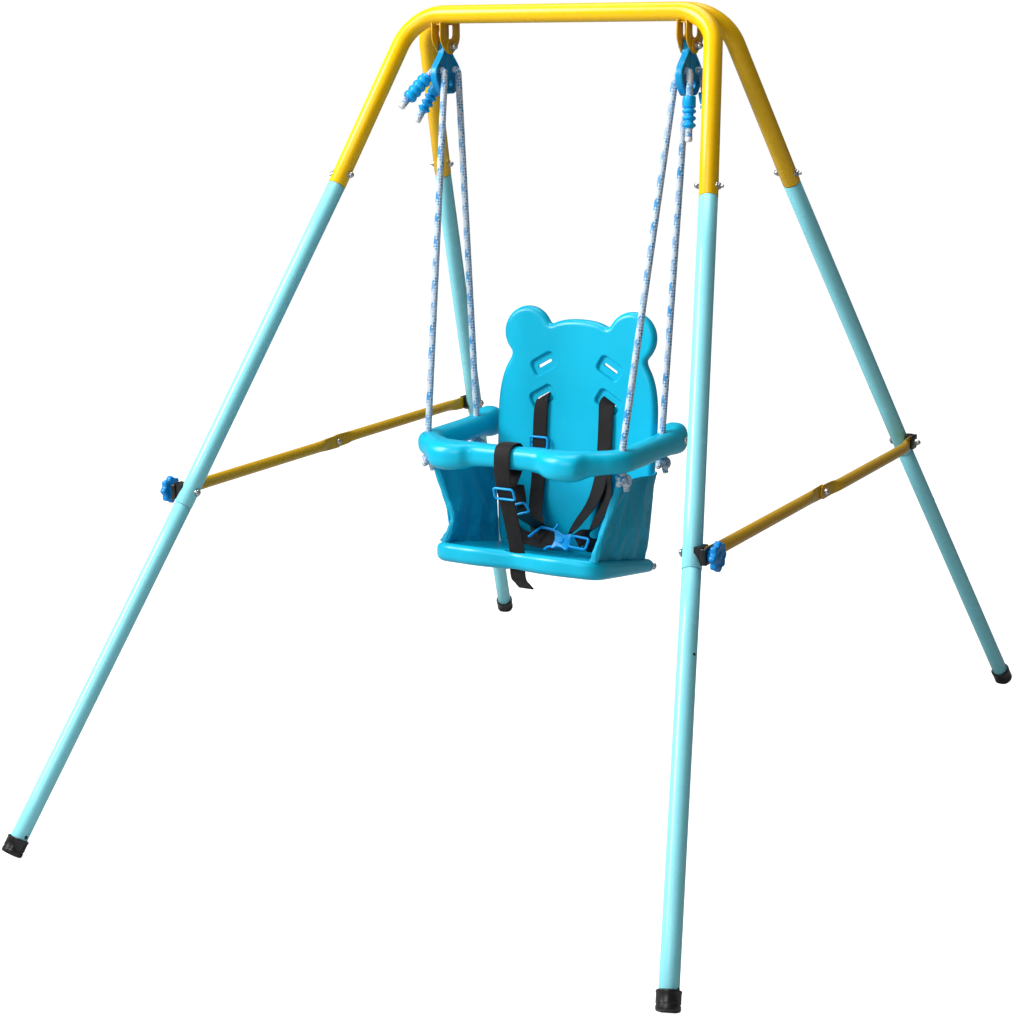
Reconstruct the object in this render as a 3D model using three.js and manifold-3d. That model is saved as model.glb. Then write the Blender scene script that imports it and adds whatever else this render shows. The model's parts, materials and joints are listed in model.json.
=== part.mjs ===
// Folding steel swing set with a moulded bucket seat for a toddler.
//
// Millimetres, +Z up. X runs along the crossbars and the child faces -Y. The origin is on the
// ground, midway between the four feet and straight below the pivot bolts. The front half of the
// frame stands on the -Y side. The rear half is the same weldment turned half a turn about Z, and
// both halves meet on two pivot bolts.

import * as THREE from 'three';
import { mergeVertices } from 'three/addons/utils/BufferGeometryUtils.js';
import Module from 'manifold-3d';

const wasm = await Module();
wasm.setup();

const V = (x, y, z) => new THREE.Vector3(x, y, z);
const X_AXIS = V(1, 0, 0);
const Z_AXIS = V(0, 0, 1);
const SIDES = { left: -1, right: 1 };
const GAP = 0.3; // kept between pieces that rest on each other

// ---- driving dimensions: frame ----------------------------------------------------------------
const PIVOT_HEIGHT = 1157.3;
const TUBE_RADIUS = 14;
const TUBE_WALL = 1.2;
const BEND_RADIUS = 68;
const NECK_RADIUS = 11.5; // swaged end that plugs into the tube above
const NECK_LENGTH = 35;
const JOINT_GAP = 0.8; // the tubes kink outward by a degree or two where they meet

// Axis of the front right leg, from the crossbar's corner to the foot
const CORNER = V(257.5, -15.4, 1207);
const UPPER_JOINT = V(315.5, -160.9, 948.4);
const LOWER_JOINT = V(421.4, -443.5, 481.8);
const LEG_END = V(529.9, -744.5, 6);

const CAP_RADIUS = 16.2;
const CAP_LENGTH = 30;
const CAP_FLOOR = 4;

const SCREW_ABOVE_JOINT = 18;
const SCREW_RADIUS = 2.5;

// ---- driving dimensions: hinge at the top -----------------------------------------------------
const HANGER_X = 211;
const PIVOT_BOLT_RADIUS = 4;
const LUG_PLATE = 2.2;
const LUG_EYE_RADIUS = 12;
const LUG_STRAP_OUTER = 28;
const LUG_STRAP_INNER = 7;
const LUG_TOP = 40; // above the pivot, before the lug is trimmed to the tube it hangs from
const LUG_WEB_TOP = 28;
const FRONT_LUG_INSIDE = 6.5; // from the hanger's middle plane to the front lug's plates
const REAR_LUG_INSIDE = FRONT_LUG_INSIDE + LUG_PLATE + GAP;

// ---- driving dimensions: braces ---------------------------------------------------------------
const BRACE_Y = 432; // brace bolts stand this far in front of and behind the middle
const BRACE_TUBE_RADIUS = 9;
const BRACE_WALL = 1.2;
const BRACE_PLATE = 3;
const BRACE_EYE_RADIUS = 10;
const BRACE_FLAT = 40; // length of each flattened end, from its eye
const BRACE_BOLT_RADIUS = 3;
const SADDLE_SIZE = 24;
// Distances outward from the leg's axis at the brace bolt
const REAR_PLATE_INSIDE = 17.3;
const FRONT_PLATE_INSIDE = 18.2;
const SADDLE_INSIDE = 7;

const KNOB_RADIUS = 19;
const KNOB_LOBES = 8;
const KNOB_THICKNESS = 17;

// ---- driving dimensions: ropes and hangers ----------------------------------------------------
const ROPE_RADIUS = 5;
const KNOT_RADIUS = 9.5;
const HANGER_THICKNESS = 11;
const HANGER_WEB = 5;
const ROPE_HOLE_Y = 20.5;
const ROPE_HOLE_DROP = 36;
const SPARE_HOLE_Y = 11;
const SPARE_HOLE_DROP = 57;
const ROPE_STAND_OFF = HANGER_THICKNESS / 2 + ROPE_RADIUS + GAP;
const ADJUSTER_LENGTH = 48;
const TAIL_BEYOND_ADJUSTER = 14;

// How each free rope end hangs from its hanger, and how far down it its adjuster sits
const TAILS = {
  front_left: { direction: V(-0.38, -0.6, -0.7), adjusterStart: 14 },
  rear_left: { direction: V(-0.42, -0.3, -0.86), adjusterStart: 28 },
  front_right: { direction: V(0.08, -0.2, -1), adjusterStart: 38 },
  rear_right: { direction: V(0.14, 0.1, -1), adjusterStart: 32 },
};

// ---- driving dimensions: seat -----------------------------------------------------------------
const BAR_Z = 548; // middle of the guard bar
const BAR_HEIGHT = 36;
const BAR_ROUNDING = 11;
const FRONT_ROPE = { x: 171, y: -137 };
const REAR_ROPE = { x: 168, y: 10 };

const BACK_LEAN = 0.089; // backward rise of the backrest, per unit of height
const BACK_THICKNESS = 20;
const BACK_REFERENCE = V(0, 32, 548); // on the front face, level with the guard bar
const BACK_TAB_HALF = 104; // lower tab that plugs into the pan

const PAN_SLOPE = -0.212; // the pan falls towards the back
const PAN_THICKNESS = 28;
const PAN_HALF_WIDTH = 148;
const PAN_FRONT = -176;
const PAN_REAR = 50;
const PAN_FRONT_TOP = 397;

const STRAP_THICKNESS = 2.4;
const CROTCH_STRAP_WIDTH = 32;
const SHOULDER_STRAP_WIDTH = 25;

// ---- materials --------------------------------------------------------------------------------
function finish(color, roughness, metalness = 0) {
  return new THREE.MeshStandardMaterial({ color, roughness, metalness });
}

const yellowPaint = finish(0xffd000, 0.3, 0.1);
const bluePaint = finish(0xa9e6ee, 0.3, 0.1);
const blackRubber = finish(0x17181a, 0.75);
const zincSteel = finish(0xc4c7ca, 0.3, 0.9);
const bluePlastic = finish(0x0f78d8, 0.4);
const seatPlastic = finish(0x00b4dc, 0.35);
const sideFabric = finish(0x1494cc, 0.85);
const webbing = finish(0x1b1b1d, 0.8);
const ropeFibre = finish(0xdfe9f4, 0.8);

// ---- helpers: solids --------------------------------------------------------------------------
function toSolid(geometry) {
  const bare = geometry.clone();
  bare.deleteAttribute('normal');
  bare.deleteAttribute('uv');
  const merged = mergeVertices(bare, 1e-4);
  const mesh = new wasm.Mesh({
    numProp: 3,
    vertProperties: merged.attributes.position.array,
    triVerts: new Uint32Array(merged.index.array),
  });
  return new wasm.Manifold(mesh);
}

function toGeometry(solid) {
  const mesh = solid.getMesh();
  const geometry = new THREE.BufferGeometry();
  geometry.setAttribute('position', new THREE.BufferAttribute(new Float32Array(mesh.vertProperties), 3));
  geometry.setIndex(new THREE.BufferAttribute(new Uint32Array(mesh.triVerts), 1));
  geometry.computeVertexNormals();
  return geometry;
}

const join = (first, ...others) =>
  toGeometry(others.reduce((solid, other) => solid.add(toSolid(other)), toSolid(first)));

const cut = (body, ...tools) =>
  toGeometry(tools.reduce((solid, tool) => solid.subtract(toSolid(tool)), toSolid(body)));

// Mirror image across the middle plane, with its faces turned back outwards
function mirrorX(geometry) {
  const image = geometry.clone().applyMatrix4(new THREE.Matrix4().makeScale(-1, 1, 1));
  const corners = image.index.array;
  for (let i = 0; i < corners.length; i += 3) {
    [corners[i], corners[i + 1]] = [corners[i + 1], corners[i]];
  }
  return image;
}

// Lathed solid about the Z axis, from a closed profile of [radius, z] points
function lathe(profile, segments = 16) {
  const points = profile.map(([radius, z]) => new THREE.Vector2(radius, z));
  return new THREE.LatheGeometry(points, segments).rotateX(Math.PI / 2);
}

// Rod about the Z axis, between two heights
function rod(radius, from, to, segments = 16) {
  return lathe([[0, from], [radius, from], [radius, to], [0, to]], segments);
}

// Turns a geometry made along +Z so that it runs along a direction from a place
function along(geometry, place, direction) {
  const turn = new THREE.Quaternion().setFromUnitVectors(Z_AXIS, direction.clone().normalize());
  return geometry.applyQuaternion(turn).translate(place.x, place.y, place.z);
}

// Solid with an outline drawn in (y, z) and a thickness along X
function plateX(shape, fromX, toX, curveSegments = 4) {
  const settings = { depth: toX - fromX, bevelEnabled: false, curveSegments };
  const geometry = new THREE.ExtrudeGeometry(shape, settings);
  const basis = new THREE.Matrix4().makeBasis(V(0, 1, 0), Z_AXIS, X_AXIS);
  return geometry.applyMatrix4(basis).translate(fromX, 0, 0);
}

function circlePath(x, y, radius) {
  return new THREE.Path().absarc(x, y, radius, 0, 2 * Math.PI, true);
}

function box(low, high) {
  const size = high.clone().sub(low);
  return new THREE.BoxGeometry(size.x, size.y, size.z).translate(
    (low.x + high.x) / 2, (low.y + high.y) / 2, (low.z + high.z) / 2);
}

// Closed shape from its right half, whose first and last points may stand on the middle line
function mirroredShape(right) {
  const left = right.filter(({ x }) => x > 0).reverse().map(({ x, y }) => new THREE.Vector2(-x, y));
  return new THREE.Shape([...right, ...left]);
}

// ---- helpers: bent paths ----------------------------------------------------------------------
// A path of straight runs joined by arcs. Its parameter steps evenly from station to station, and stations
// stand only at the ends and along the bends, so straight runs cost a single step.
class BentPath extends THREE.Curve {
  constructor(corners, radius, stepsPerBend) {
    super();
    this.stations = [this.station(corners[0], corners[1].clone().sub(corners[0]))];
    for (let i = 1; i < corners.length - 1; i += 1) {
      this.addBend(corners[i - 1], corners[i], corners[i + 1], radius, stepsPerBend);
    }
    const last = corners.length - 1;
    this.stations.push(this.station(corners[last], corners[last].clone().sub(corners[last - 1])));
  }

  station(point, tangent) {
    return { point: point.clone(), tangent: tangent.clone().normalize() };
  }

  addBend(before, corner, after, radius, steps) {
    const into = corner.clone().sub(before).normalize();
    const out = after.clone().sub(corner).normalize();
    const angle = into.angleTo(out);
    const axis = into.clone().cross(out).normalize();
    const start = corner.clone().addScaledVector(into, -radius * Math.tan(angle / 2));
    const centre = start.clone().addScaledVector(axis.clone().cross(into), radius);
    for (let i = 0; i <= steps; i += 1) {
      const turn = (angle * i) / steps;
      const point = start.clone().sub(centre).applyAxisAngle(axis, turn).add(centre);
      this.stations.push(this.station(point, into.clone().applyAxisAngle(axis, turn)));
    }
  }

  getPoint(t, target = new THREE.Vector3()) {
    return target.copy(this.stations[Math.round(t * (this.stations.length - 1))].point);
  }

  getPointAt(u, target) {
    return this.getPoint(u, target);
  }

  getTangentAt(u, target = new THREE.Vector3()) {
    return target.copy(this.stations[Math.round(u * (this.stations.length - 1))].tangent);
  }
}

function sweep(path, radius, bore = 0, curveSegments = 8) {
  const shape = new THREE.Shape().absarc(0, 0, radius, 0, 2 * Math.PI, false);
  if (bore > 0) shape.holes.push(circlePath(0, 0, bore));
  const steps = path.stations.length - 1;
  return new THREE.ExtrudeGeometry(shape, { steps, extrudePath: path, bevelEnabled: false, curveSegments });
}

// ---- scene graph ------------------------------------------------------------------------------
const swingSet = new THREE.Group();
const frontFrame = new THREE.Group();
const rearFrame = new THREE.Group();
const braces = new THREE.Group();
const swing = new THREE.Group();
rearFrame.rotation.z = Math.PI;
swingSet.add(frontFrame, rearFrame, braces, swing);

function add(group, name, geometry, material) {
  const mesh = new THREE.Mesh(geometry, material);
  mesh.name = name;
  group.add(mesh);
  return mesh;
}

const mirrored = (point, side) => V(point.x * side, point.y, point.z);

// Point on the leg's axis at a distance up from one of its joints
const upLeg = (from, towards, distance) =>
  from.clone().addScaledVector(towards.clone().sub(from).normalize(), distance);

const SCREW_POINT = upLeg(UPPER_JOINT, CORNER, SCREW_ABOVE_JOINT);

const MIDDLE_DIRECTION = UPPER_JOINT.clone().sub(LOWER_JOINT).normalize();
const BRACE_POINT = upLeg(LOWER_JOINT, UPPER_JOINT, (LOWER_JOINT.y + BRACE_Y) / -MIDDLE_DIRECTION.y);

// ---- frame tubes ------------------------------------------------------------------------------
const holeAcross = (point, radius) => along(rod(radius, -40, 40, 8), point, X_AXIS);

const TOP_TUBE_PATH = new BentPath(
  [mirrored(UPPER_JOINT, -1), mirrored(CORNER, -1), CORNER, UPPER_JOINT], BEND_RADIUS, 5);

function topTube() {
  const tube = sweep(TOP_TUBE_PATH, TUBE_RADIUS, TUBE_RADIUS - TUBE_WALL);
  const places = Object.values(SIDES).map((side) => mirrored(SCREW_POINT, side));
  return cut(tube, ...places.map((place) => holeAcross(place, SCREW_RADIUS + GAP)));
}

// Leg tube from its lower end up to the shoulder below its swaged neck
function necked(lower, upper, radius) {
  const length = upper.distanceTo(lower);
  const bore = radius - TUBE_WALL;
  const neckBore = NECK_RADIUS - TUBE_WALL;
  const profile = [
    [bore, 0], [radius, 0], [radius, length - JOINT_GAP], [NECK_RADIUS, length - JOINT_GAP],
    [NECK_RADIUS, length + NECK_LENGTH], [neckBore, length + NECK_LENGTH], [neckBore, length - 2],
    [bore, length - 4], [bore, 0],
  ];
  return along(lathe(profile), lower, upper.clone().sub(lower));
}

function middleTube(side) {
  const tube = necked(mirrored(LOWER_JOINT, side), mirrored(UPPER_JOINT, side), TUBE_RADIUS - 0.2);
  const screwHole = holeAcross(mirrored(SCREW_POINT, side), SCREW_RADIUS + GAP);
  const braceHole = holeAcross(mirrored(BRACE_POINT, side), BRACE_BOLT_RADIUS + GAP);
  return cut(tube, screwHole, braceHole);
}

function lowerTube(side) {
  const foot = upLeg(LEG_END, LOWER_JOINT, CAP_FLOOR + GAP);
  const tube = necked(mirrored(foot, side), mirrored(LOWER_JOINT, side), TUBE_RADIUS - 0.6);
  return cut(tube, holeAcross(mirrored(BRACE_POINT, side), BRACE_BOLT_RADIUS + GAP));
}

// Rubber cap over the leg's end, trimmed flat where it stands on the ground
function footCap(side) {
  const bore = TUBE_RADIUS - 0.6 + GAP;
  const profile = [
    [0, 0], [CAP_RADIUS, 0], [CAP_RADIUS, CAP_LENGTH - 2], [CAP_RADIUS - 1, CAP_LENGTH], [bore, CAP_LENGTH],
    [bore, CAP_FLOOR], [0, CAP_FLOOR],
  ];
  const upward = mirrored(LOWER_JOINT.clone().sub(LEG_END), side);
  const cap = along(lathe(profile), mirrored(LEG_END, side), upward);
  const ground = box(V(-700, -900, -60), V(700, 0, 0));
  return cut(cap, ground);
}

// ---- fasteners --------------------------------------------------------------------------------
const BOLT_SIDES = 10;

// Profile of a domed head whose flat side stands at `base`
function domedHead(radius, height, base) {
  return [
    [0, base - height], [radius * 0.6, base - height * 0.85], [radius, base - height * 0.3],
    [radius, base],
  ];
}

// Bolt along Z: a domed head below `from`, a plain shank, and a nut above `to`
function boltWithNut(radius, headRadius, headHeight, from, to) {
  const nut = [
    [headRadius, to], [headRadius, to + headHeight * 0.6], [radius, to + headHeight],
    [radius * 0.8, to + headHeight * 1.4], [0, to + headHeight * 1.5],
  ];
  const head = domedHead(headRadius, headHeight, from);
  return lathe([...head, [radius, from], [radius, to], ...nut], BOLT_SIDES);
}

// Bolt along Z with a domed head below `from` and a chamfered end at `to`
function plainBolt(radius, headRadius, headHeight, from, to) {
  const chamfer = 0.6;
  const end = [[radius, from], [radius, to - chamfer], [radius - chamfer, to], [0, to]];
  return lathe([...domedHead(headRadius, headHeight, from), ...end], BOLT_SIDES);
}

// ---- hinge lugs -------------------------------------------------------------------------------
// Outline of one lug plate in (y, z) about the pivot: a strap that curves into a round eye
function lugOutline() {
  const shape = new THREE.Shape();
  const eyeFrom = THREE.MathUtils.degToRad(222);
  const eyeTo = THREE.MathUtils.degToRad(440);
  const eyeStart = { x: LUG_EYE_RADIUS * Math.cos(eyeFrom), y: LUG_EYE_RADIUS * Math.sin(eyeFrom) };
  shape.moveTo(-LUG_STRAP_OUTER, LUG_TOP);
  shape.lineTo(-LUG_STRAP_OUTER, 16);
  shape.quadraticCurveTo(-LUG_STRAP_OUTER + 1, -2, eyeStart.x, eyeStart.y);
  shape.absarc(0, 0, LUG_EYE_RADIUS, eyeFrom, eyeTo, false);
  shape.quadraticCurveTo(-LUG_STRAP_INNER, 13, -LUG_STRAP_INNER, 22);
  shape.lineTo(-LUG_STRAP_INNER, LUG_TOP);
  shape.closePath();
  shape.holes.push(circlePath(0, 0, PIVOT_BOLT_RADIUS + 2 * GAP));
  return shape;
}

// Two plates joined by a web, cut to the underside of the top tube at the lug's place
function hingeLug(inside, place) {
  const outline = lugOutline();
  const outside = inside + LUG_PLATE;
  const web = box(V(-outside, -20, LUG_WEB_TOP - LUG_PLATE), V(outside, -LUG_STRAP_INNER, LUG_WEB_TOP));
  const lug = join(plateX(outline, inside, outside), plateX(outline, -outside, -inside), web);
  const tube = sweep(TOP_TUBE_PATH, TUBE_RADIUS + GAP).translate(-place.x, -place.y, -place.z);
  return cut(lug, tube);
}

// ---- saddles between the legs and the braces --------------------------------------------------
function saddle(side, outside) {
  const half = SADDLE_SIZE / 2;
  const centre = mirrored(BRACE_POINT, side);
  const outline = new THREE.Shape();
  outline.moveTo(-half, -half + 4);
  outline.lineTo(-half + 4, -half);
  outline.lineTo(half - 4, -half);
  outline.lineTo(half, -half + 4);
  outline.lineTo(half, half);
  outline.lineTo(-half, half);
  outline.closePath();
  outline.holes.push(circlePath(0, 0, BRACE_BOLT_RADIUS + GAP));
  const [from, to] = side > 0 ? [SADDLE_INSIDE, outside] : [-outside, -SADDLE_INSIDE];
  const block = plateX(outline, from, to);
  const direction = mirrored(MIDDLE_DIRECTION, side);
  const leg = along(rod(TUBE_RADIUS + GAP, -60, 60, 24), centre, direction);
  return cut(block.translate(centre.x, centre.y, centre.z), leg);
}

// ---- one half of the frame --------------------------------------------------------------------
function buildHalfFrame(group, end, turned) {
  add(group, `${end}_top_tube`, topTube(), yellowPaint);
  for (const [sideName, worldSide] of Object.entries(SIDES)) {
    const side = turned ? -worldSide : worldSide;
    const name = `${end}_${sideName}`;
    add(group, `${name}_middle_tube`, middleTube(side), bluePaint);
    add(group, `${name}_lower_tube`, lowerTube(side), bluePaint);
    add(group, `${name}_foot_cap`, footCap(side), blackRubber);

    const screw = add(group, `${name}_tube_screw`, boltWithNut(SCREW_RADIUS, 4.5, 4.5, -17, 17), zincSteel);
    screw.position.copy(mirrored(SCREW_POINT, side));
    screw.rotation.y = (side * Math.PI) / 2;

    const lugPlace = V(side * HANGER_X, 0, PIVOT_HEIGHT);
    const lugInside = turned ? REAR_LUG_INSIDE : FRONT_LUG_INSIDE;
    add(group, `${name}_hinge_lug`, hingeLug(lugInside, lugPlace), yellowPaint).position.copy(lugPlace);

    const saddleOutside = (turned ? REAR_PLATE_INSIDE : FRONT_PLATE_INSIDE) - GAP;
    add(group, `${name}_brace_saddle`, saddle(side, saddleOutside), blackRubber);
  }
}

function buildPivotBolts() {
  const grip = REAR_LUG_INSIDE + LUG_PLATE + GAP;
  for (const [sideName, side] of Object.entries(SIDES)) {
    const geometry = boltWithNut(PIVOT_BOLT_RADIUS, 7, 5, -grip, grip);
    const bolt = add(frontFrame, `${sideName}_pivot_bolt`, geometry, zincSteel);
    bolt.position.set(side * HANGER_X, 0, PIVOT_HEIGHT);
    bolt.rotation.y = Math.PI / 2;
  }
}

// ---- knobs, brace bolts and nuts --------------------------------------------------------------
function knobGeometry() {
  const outline = new THREE.Shape();
  const steps = KNOB_LOBES * 4;
  for (let i = 0; i < steps; i += 1) {
    const angle = (2 * Math.PI * i) / steps;
    const radius = KNOB_RADIUS - 2 + 2 * Math.cos(KNOB_LOBES * angle);
    const method = i === 0 ? 'moveTo' : 'lineTo';
    outline[method](radius * Math.cos(angle), radius * Math.sin(angle));
  }
  outline.closePath();
  const bevel = 2;
  const rim = new THREE.ExtrudeGeometry(outline, {
    depth: KNOB_THICKNESS - 2 * bevel - 5, bevelEnabled: true, bevelThickness: bevel, bevelSize: bevel,
    bevelOffset: -bevel, bevelSegments: 1,
  }).translate(0, 0, bevel + 5);
  const hub = rod(10, 0, 8);
  return cut(join(rim, hub), rod(BRACE_BOLT_RADIUS + GAP, -1, KNOB_THICKNESS - 4, 12));
}

const FRONT_PLATE_OUTSIDE = FRONT_PLATE_INSIDE + BRACE_PLATE;

const BRACE_BOLT_HEAD = { radius: 6.5, height: 5, base: -(TUBE_RADIUS + 1.5) };

function braceBolt(end) {
  const { radius, height, base } = BRACE_BOLT_HEAD;
  return plainBolt(BRACE_BOLT_RADIUS, radius, height, base, end);
}

// Outer end of a rear brace bolt, which stays with the brace's eye: shank, washer and nut
function braceNut() {
  const washer = { radius: 9, from: BRACE_PLATE + GAP, to: BRACE_PLATE + 2 };
  const nut = { radius: 5.5, to: BRACE_PLATE + 7 };
  return lathe([
    [0, 0], [BRACE_BOLT_RADIUS, 0], [BRACE_BOLT_RADIUS, washer.from], [washer.radius, washer.from],
    [washer.radius, washer.to], [nut.radius, washer.to], [nut.radius, nut.to],
    [BRACE_BOLT_RADIUS, nut.to + 1], [BRACE_BOLT_RADIUS, nut.to + 4], [0, nut.to + 4],
  ], BOLT_SIDES);
}

function buildBraceFasteners() {
  for (const [sideName, side] of Object.entries(SIDES)) {
    const turn = (side * Math.PI) / 2;
    const front = mirrored(BRACE_POINT, side);

    const knobBolt = braceBolt(FRONT_PLATE_OUTSIDE + KNOB_THICKNESS - 6);
    const longBolt = add(frontFrame, `${sideName}_knob_bolt`, knobBolt, zincSteel);
    longBolt.position.copy(front);
    longBolt.rotation.y = turn;

    const knob = add(braces, `${sideName}_knob`, knobGeometry(), bluePlastic);
    knob.position.copy(front).add(V(side * (FRONT_PLATE_OUTSIDE + GAP), 0, 0));
    knob.rotation.y = turn;

    const rearBolt = braceBolt(REAR_PLATE_INSIDE - GAP);
    const shortBolt = add(rearFrame, `${sideName}_brace_bolt`, rearBolt, zincSteel);
    shortBolt.position.copy(mirrored(BRACE_POINT, -side));
    shortBolt.rotation.y = -turn;

    const nut = add(braces, `${sideName}_brace_nut`, braceNut(), zincSteel);
    nut.position.set(side * (BRACE_POINT.x + REAR_PLATE_INSIDE), BRACE_Y, BRACE_POINT.z);
    nut.rotation.y = turn;
  }
}

// ---- braces -----------------------------------------------------------------------------------
// Flat end of a brace in (y, z): a round eye at the origin and a strip that runs towards +Y
function braceEndOutline() {
  const shape = new THREE.Shape();
  shape.moveTo(BRACE_FLAT + 6, BRACE_EYE_RADIUS - 1.5);
  shape.lineTo(0, BRACE_EYE_RADIUS);
  shape.absarc(0, 0, BRACE_EYE_RADIUS, Math.PI / 2, (3 * Math.PI) / 2, false);
  shape.lineTo(BRACE_FLAT + 6, -BRACE_EYE_RADIUS + 1.5);
  shape.closePath();
  shape.holes.push(circlePath(0, 0, BRACE_BOLT_RADIUS + GAP));
  return shape;
}

// Brace link of the right side, from y = 0 to y = BRACE_Y. The plates at its two ends and the
// middle of its tube stand at distances outward from x = 0.
function braceLink(firstPlate, lastPlate, tubeCentre) {
  const bore = BRACE_TUBE_RADIUS - BRACE_WALL;
  const end = BRACE_Y - BRACE_FLAT;
  const profile = [
    [bore, BRACE_FLAT], [BRACE_TUBE_RADIUS, BRACE_FLAT], [BRACE_TUBE_RADIUS, end], [bore, end],
    [bore, BRACE_FLAT],
  ];
  const tube = along(lathe(profile), V(tubeCentre, 0, 0), V(0, 1, 0));
  const first = plateX(braceEndOutline(), firstPlate, firstPlate + BRACE_PLATE);
  const last = plateX(braceEndOutline(), lastPlate, lastPlate + BRACE_PLATE);
  return join(tube, first, last.rotateX(Math.PI).translate(0, BRACE_Y, 0));
}

function buildBraces() {
  const rearTube = REAR_PLATE_INSIDE + BRACE_TUBE_RADIUS;
  const frontTube = FRONT_PLATE_INSIDE + BRACE_PLATE / 2;
  for (const [sideName, side] of Object.entries(SIDES)) {
    const front = braceLink(FRONT_PLATE_INSIDE, FRONT_PLATE_INSIDE, frontTube);
    const rear = braceLink(FRONT_PLATE_OUTSIDE + GAP, REAR_PLATE_INSIDE, rearTube);
    const links = { front: { y: -BRACE_Y, geometry: front }, rear: { y: 0, geometry: rear } };
    for (const [end, { y, geometry }] of Object.entries(links)) {
      if (side < 0) geometry.rotateZ(Math.PI).rotateX(Math.PI);
      const link = add(braces, `${sideName}_${end}_brace`, geometry, yellowPaint);
      link.position.set(side * BRACE_POINT.x, y, BRACE_POINT.z);
    }
    const rivet = boltWithNut(BRACE_BOLT_RADIUS, 6, 3, -GAP, 2 * BRACE_PLATE + 2 * GAP);
    const middle = add(braces, `${sideName}_brace_rivet`, rivet, zincSteel);
    middle.position.set(side * (BRACE_POINT.x + FRONT_PLATE_INSIDE), 0, BRACE_POINT.z);
    middle.rotation.y = (side * Math.PI) / 2;
  }
}

// ---- hangers, ropes and rope adjusters --------------------------------------------------------
// Pear-shaped outline in (y, z) about the pivot, drawn `inset` inside the hanger's edge
function hangerOutline(inset) {
  const top = 11 - inset;
  const half = 38 - inset;
  const foot = 17 - inset;
  const shape = new THREE.Shape();
  shape.moveTo(-top, 0);
  shape.bezierCurveTo(-top, -16, -half, -24, -half, -42);
  shape.quadraticCurveTo(-half, -65 + inset, -foot, -73 + inset);
  shape.lineTo(foot, -73 + inset);
  shape.quadraticCurveTo(half, -65 + inset, half, -42);
  shape.bezierCurveTo(half, -24, top, -16, top, 0);
  shape.absarc(0, 0, top, 0, Math.PI, false);
  return shape;
}

function hangerGeometry() {
  const half = HANGER_THICKNESS / 2;
  const outer = hangerOutline(0);
  outer.holes.push(circlePath(0, 0, PIVOT_BOLT_RADIUS + 2 * GAP));
  for (const side of Object.values(SIDES)) {
    outer.holes.push(circlePath(side * ROPE_HOLE_Y, -ROPE_HOLE_DROP, ROPE_RADIUS + 2 * GAP));
    outer.holes.push(circlePath(side * SPARE_HOLE_Y, -SPARE_HOLE_DROP, ROPE_RADIUS + 2 * GAP));
  }
  const pocket = hangerOutline(5);
  const below = box(V(-half - 1, -20, -14), V(half + 1, 20, 20));
  const pockets = [plateX(pocket, HANGER_WEB / 2, half + 1), plateX(pocket, -half - 1, -HANGER_WEB / 2)];
  return cut(plateX(outer, -half, half), ...pockets.map((solid) => cut(solid, below)));
}

// Where each rope passes its hanger, at the hole's level on the side that faces the child
function ropeLayout(end, side) {
  const seat = end === 'front' ? FRONT_ROPE : REAR_ROPE;
  const holeY = end === 'front' ? -ROPE_HOLE_Y : ROPE_HOLE_Y;
  const hole = V(side * HANGER_X, holeY, PIVOT_HEIGHT - ROPE_HOLE_DROP);
  return {
    knot: V(side * seat.x, seat.y, BAR_Z - BAR_HEIGHT / 2 - KNOT_RADIUS - 1),
    above: V(side * seat.x, seat.y, BAR_Z + BAR_HEIGHT / 2 + 4),
    inner: hole.clone().add(V(-side * ROPE_STAND_OFF, 0, 0)),
    outer: hole.clone().add(V(side * ROPE_STAND_OFF, 0, 0)),
  };
}

function ropeGeometry(layout, direction, tailLength) {
  const tip = layout.outer.clone().addScaledVector(direction, tailLength);
  const corners = [layout.knot, layout.above, layout.inner, layout.outer, tip];
  const rope = sweep(new BentPath(corners, ROPE_RADIUS + 1.2, 3), ROPE_RADIUS, 0, 4);
  const knot = new THREE.SphereGeometry(KNOT_RADIUS, 8, 6);
  return join(rope, knot.translate(...layout.knot.toArray()));
}

// Ribbed sleeve along Z that slides on the rope's free end
function adjusterGeometry() {
  const bore = ROPE_RADIUS + 0.4;
  const rings = 3;
  const neck = bore + 1.8;
  const collar = 16;
  const pitch = (ADJUSTER_LENGTH - collar) / rings;
  const profile = [[bore, 0], [bore + 2.5, 0], [bore + 2.5, collar - 1], [neck, collar]];
  for (let i = 0; i < rings; i += 1) {
    const end = collar + pitch * (i + 1);
    profile.push([neck, end - 4], [9.5, end - 4], [9.5, end]);
    if (i < rings - 1) profile.push([neck, end]);
  }
  profile.push([bore, ADJUSTER_LENGTH], [bore, 0]);
  return lathe(profile, 10);
}

function buildRopes() {
  for (const [sideName, side] of Object.entries(SIDES)) {
    const hanger = add(swing, `${sideName}_hanger`, hangerGeometry(), bluePlastic);
    hanger.position.set(side * HANGER_X, 0, PIVOT_HEIGHT);
    for (const end of ['front', 'rear']) {
      const layout = ropeLayout(end, side);
      const { direction, adjusterStart } = TAILS[`${end}_${sideName}`];
      const down = direction.clone().normalize();
      const tailLength = adjusterStart + ADJUSTER_LENGTH + TAIL_BEYOND_ADJUSTER;
      add(swing, `${end}_${sideName}_rope`, ropeGeometry(layout, down, tailLength), ropeFibre);
      const adjuster = add(swing, `${end}_${sideName}_rope_adjuster`, adjusterGeometry(), bluePlastic);
      adjuster.position.copy(layout.outer).addScaledVector(down, adjusterStart);
      adjuster.quaternion.setFromUnitVectors(Z_AXIS, down);
    }
  }
}

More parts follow.
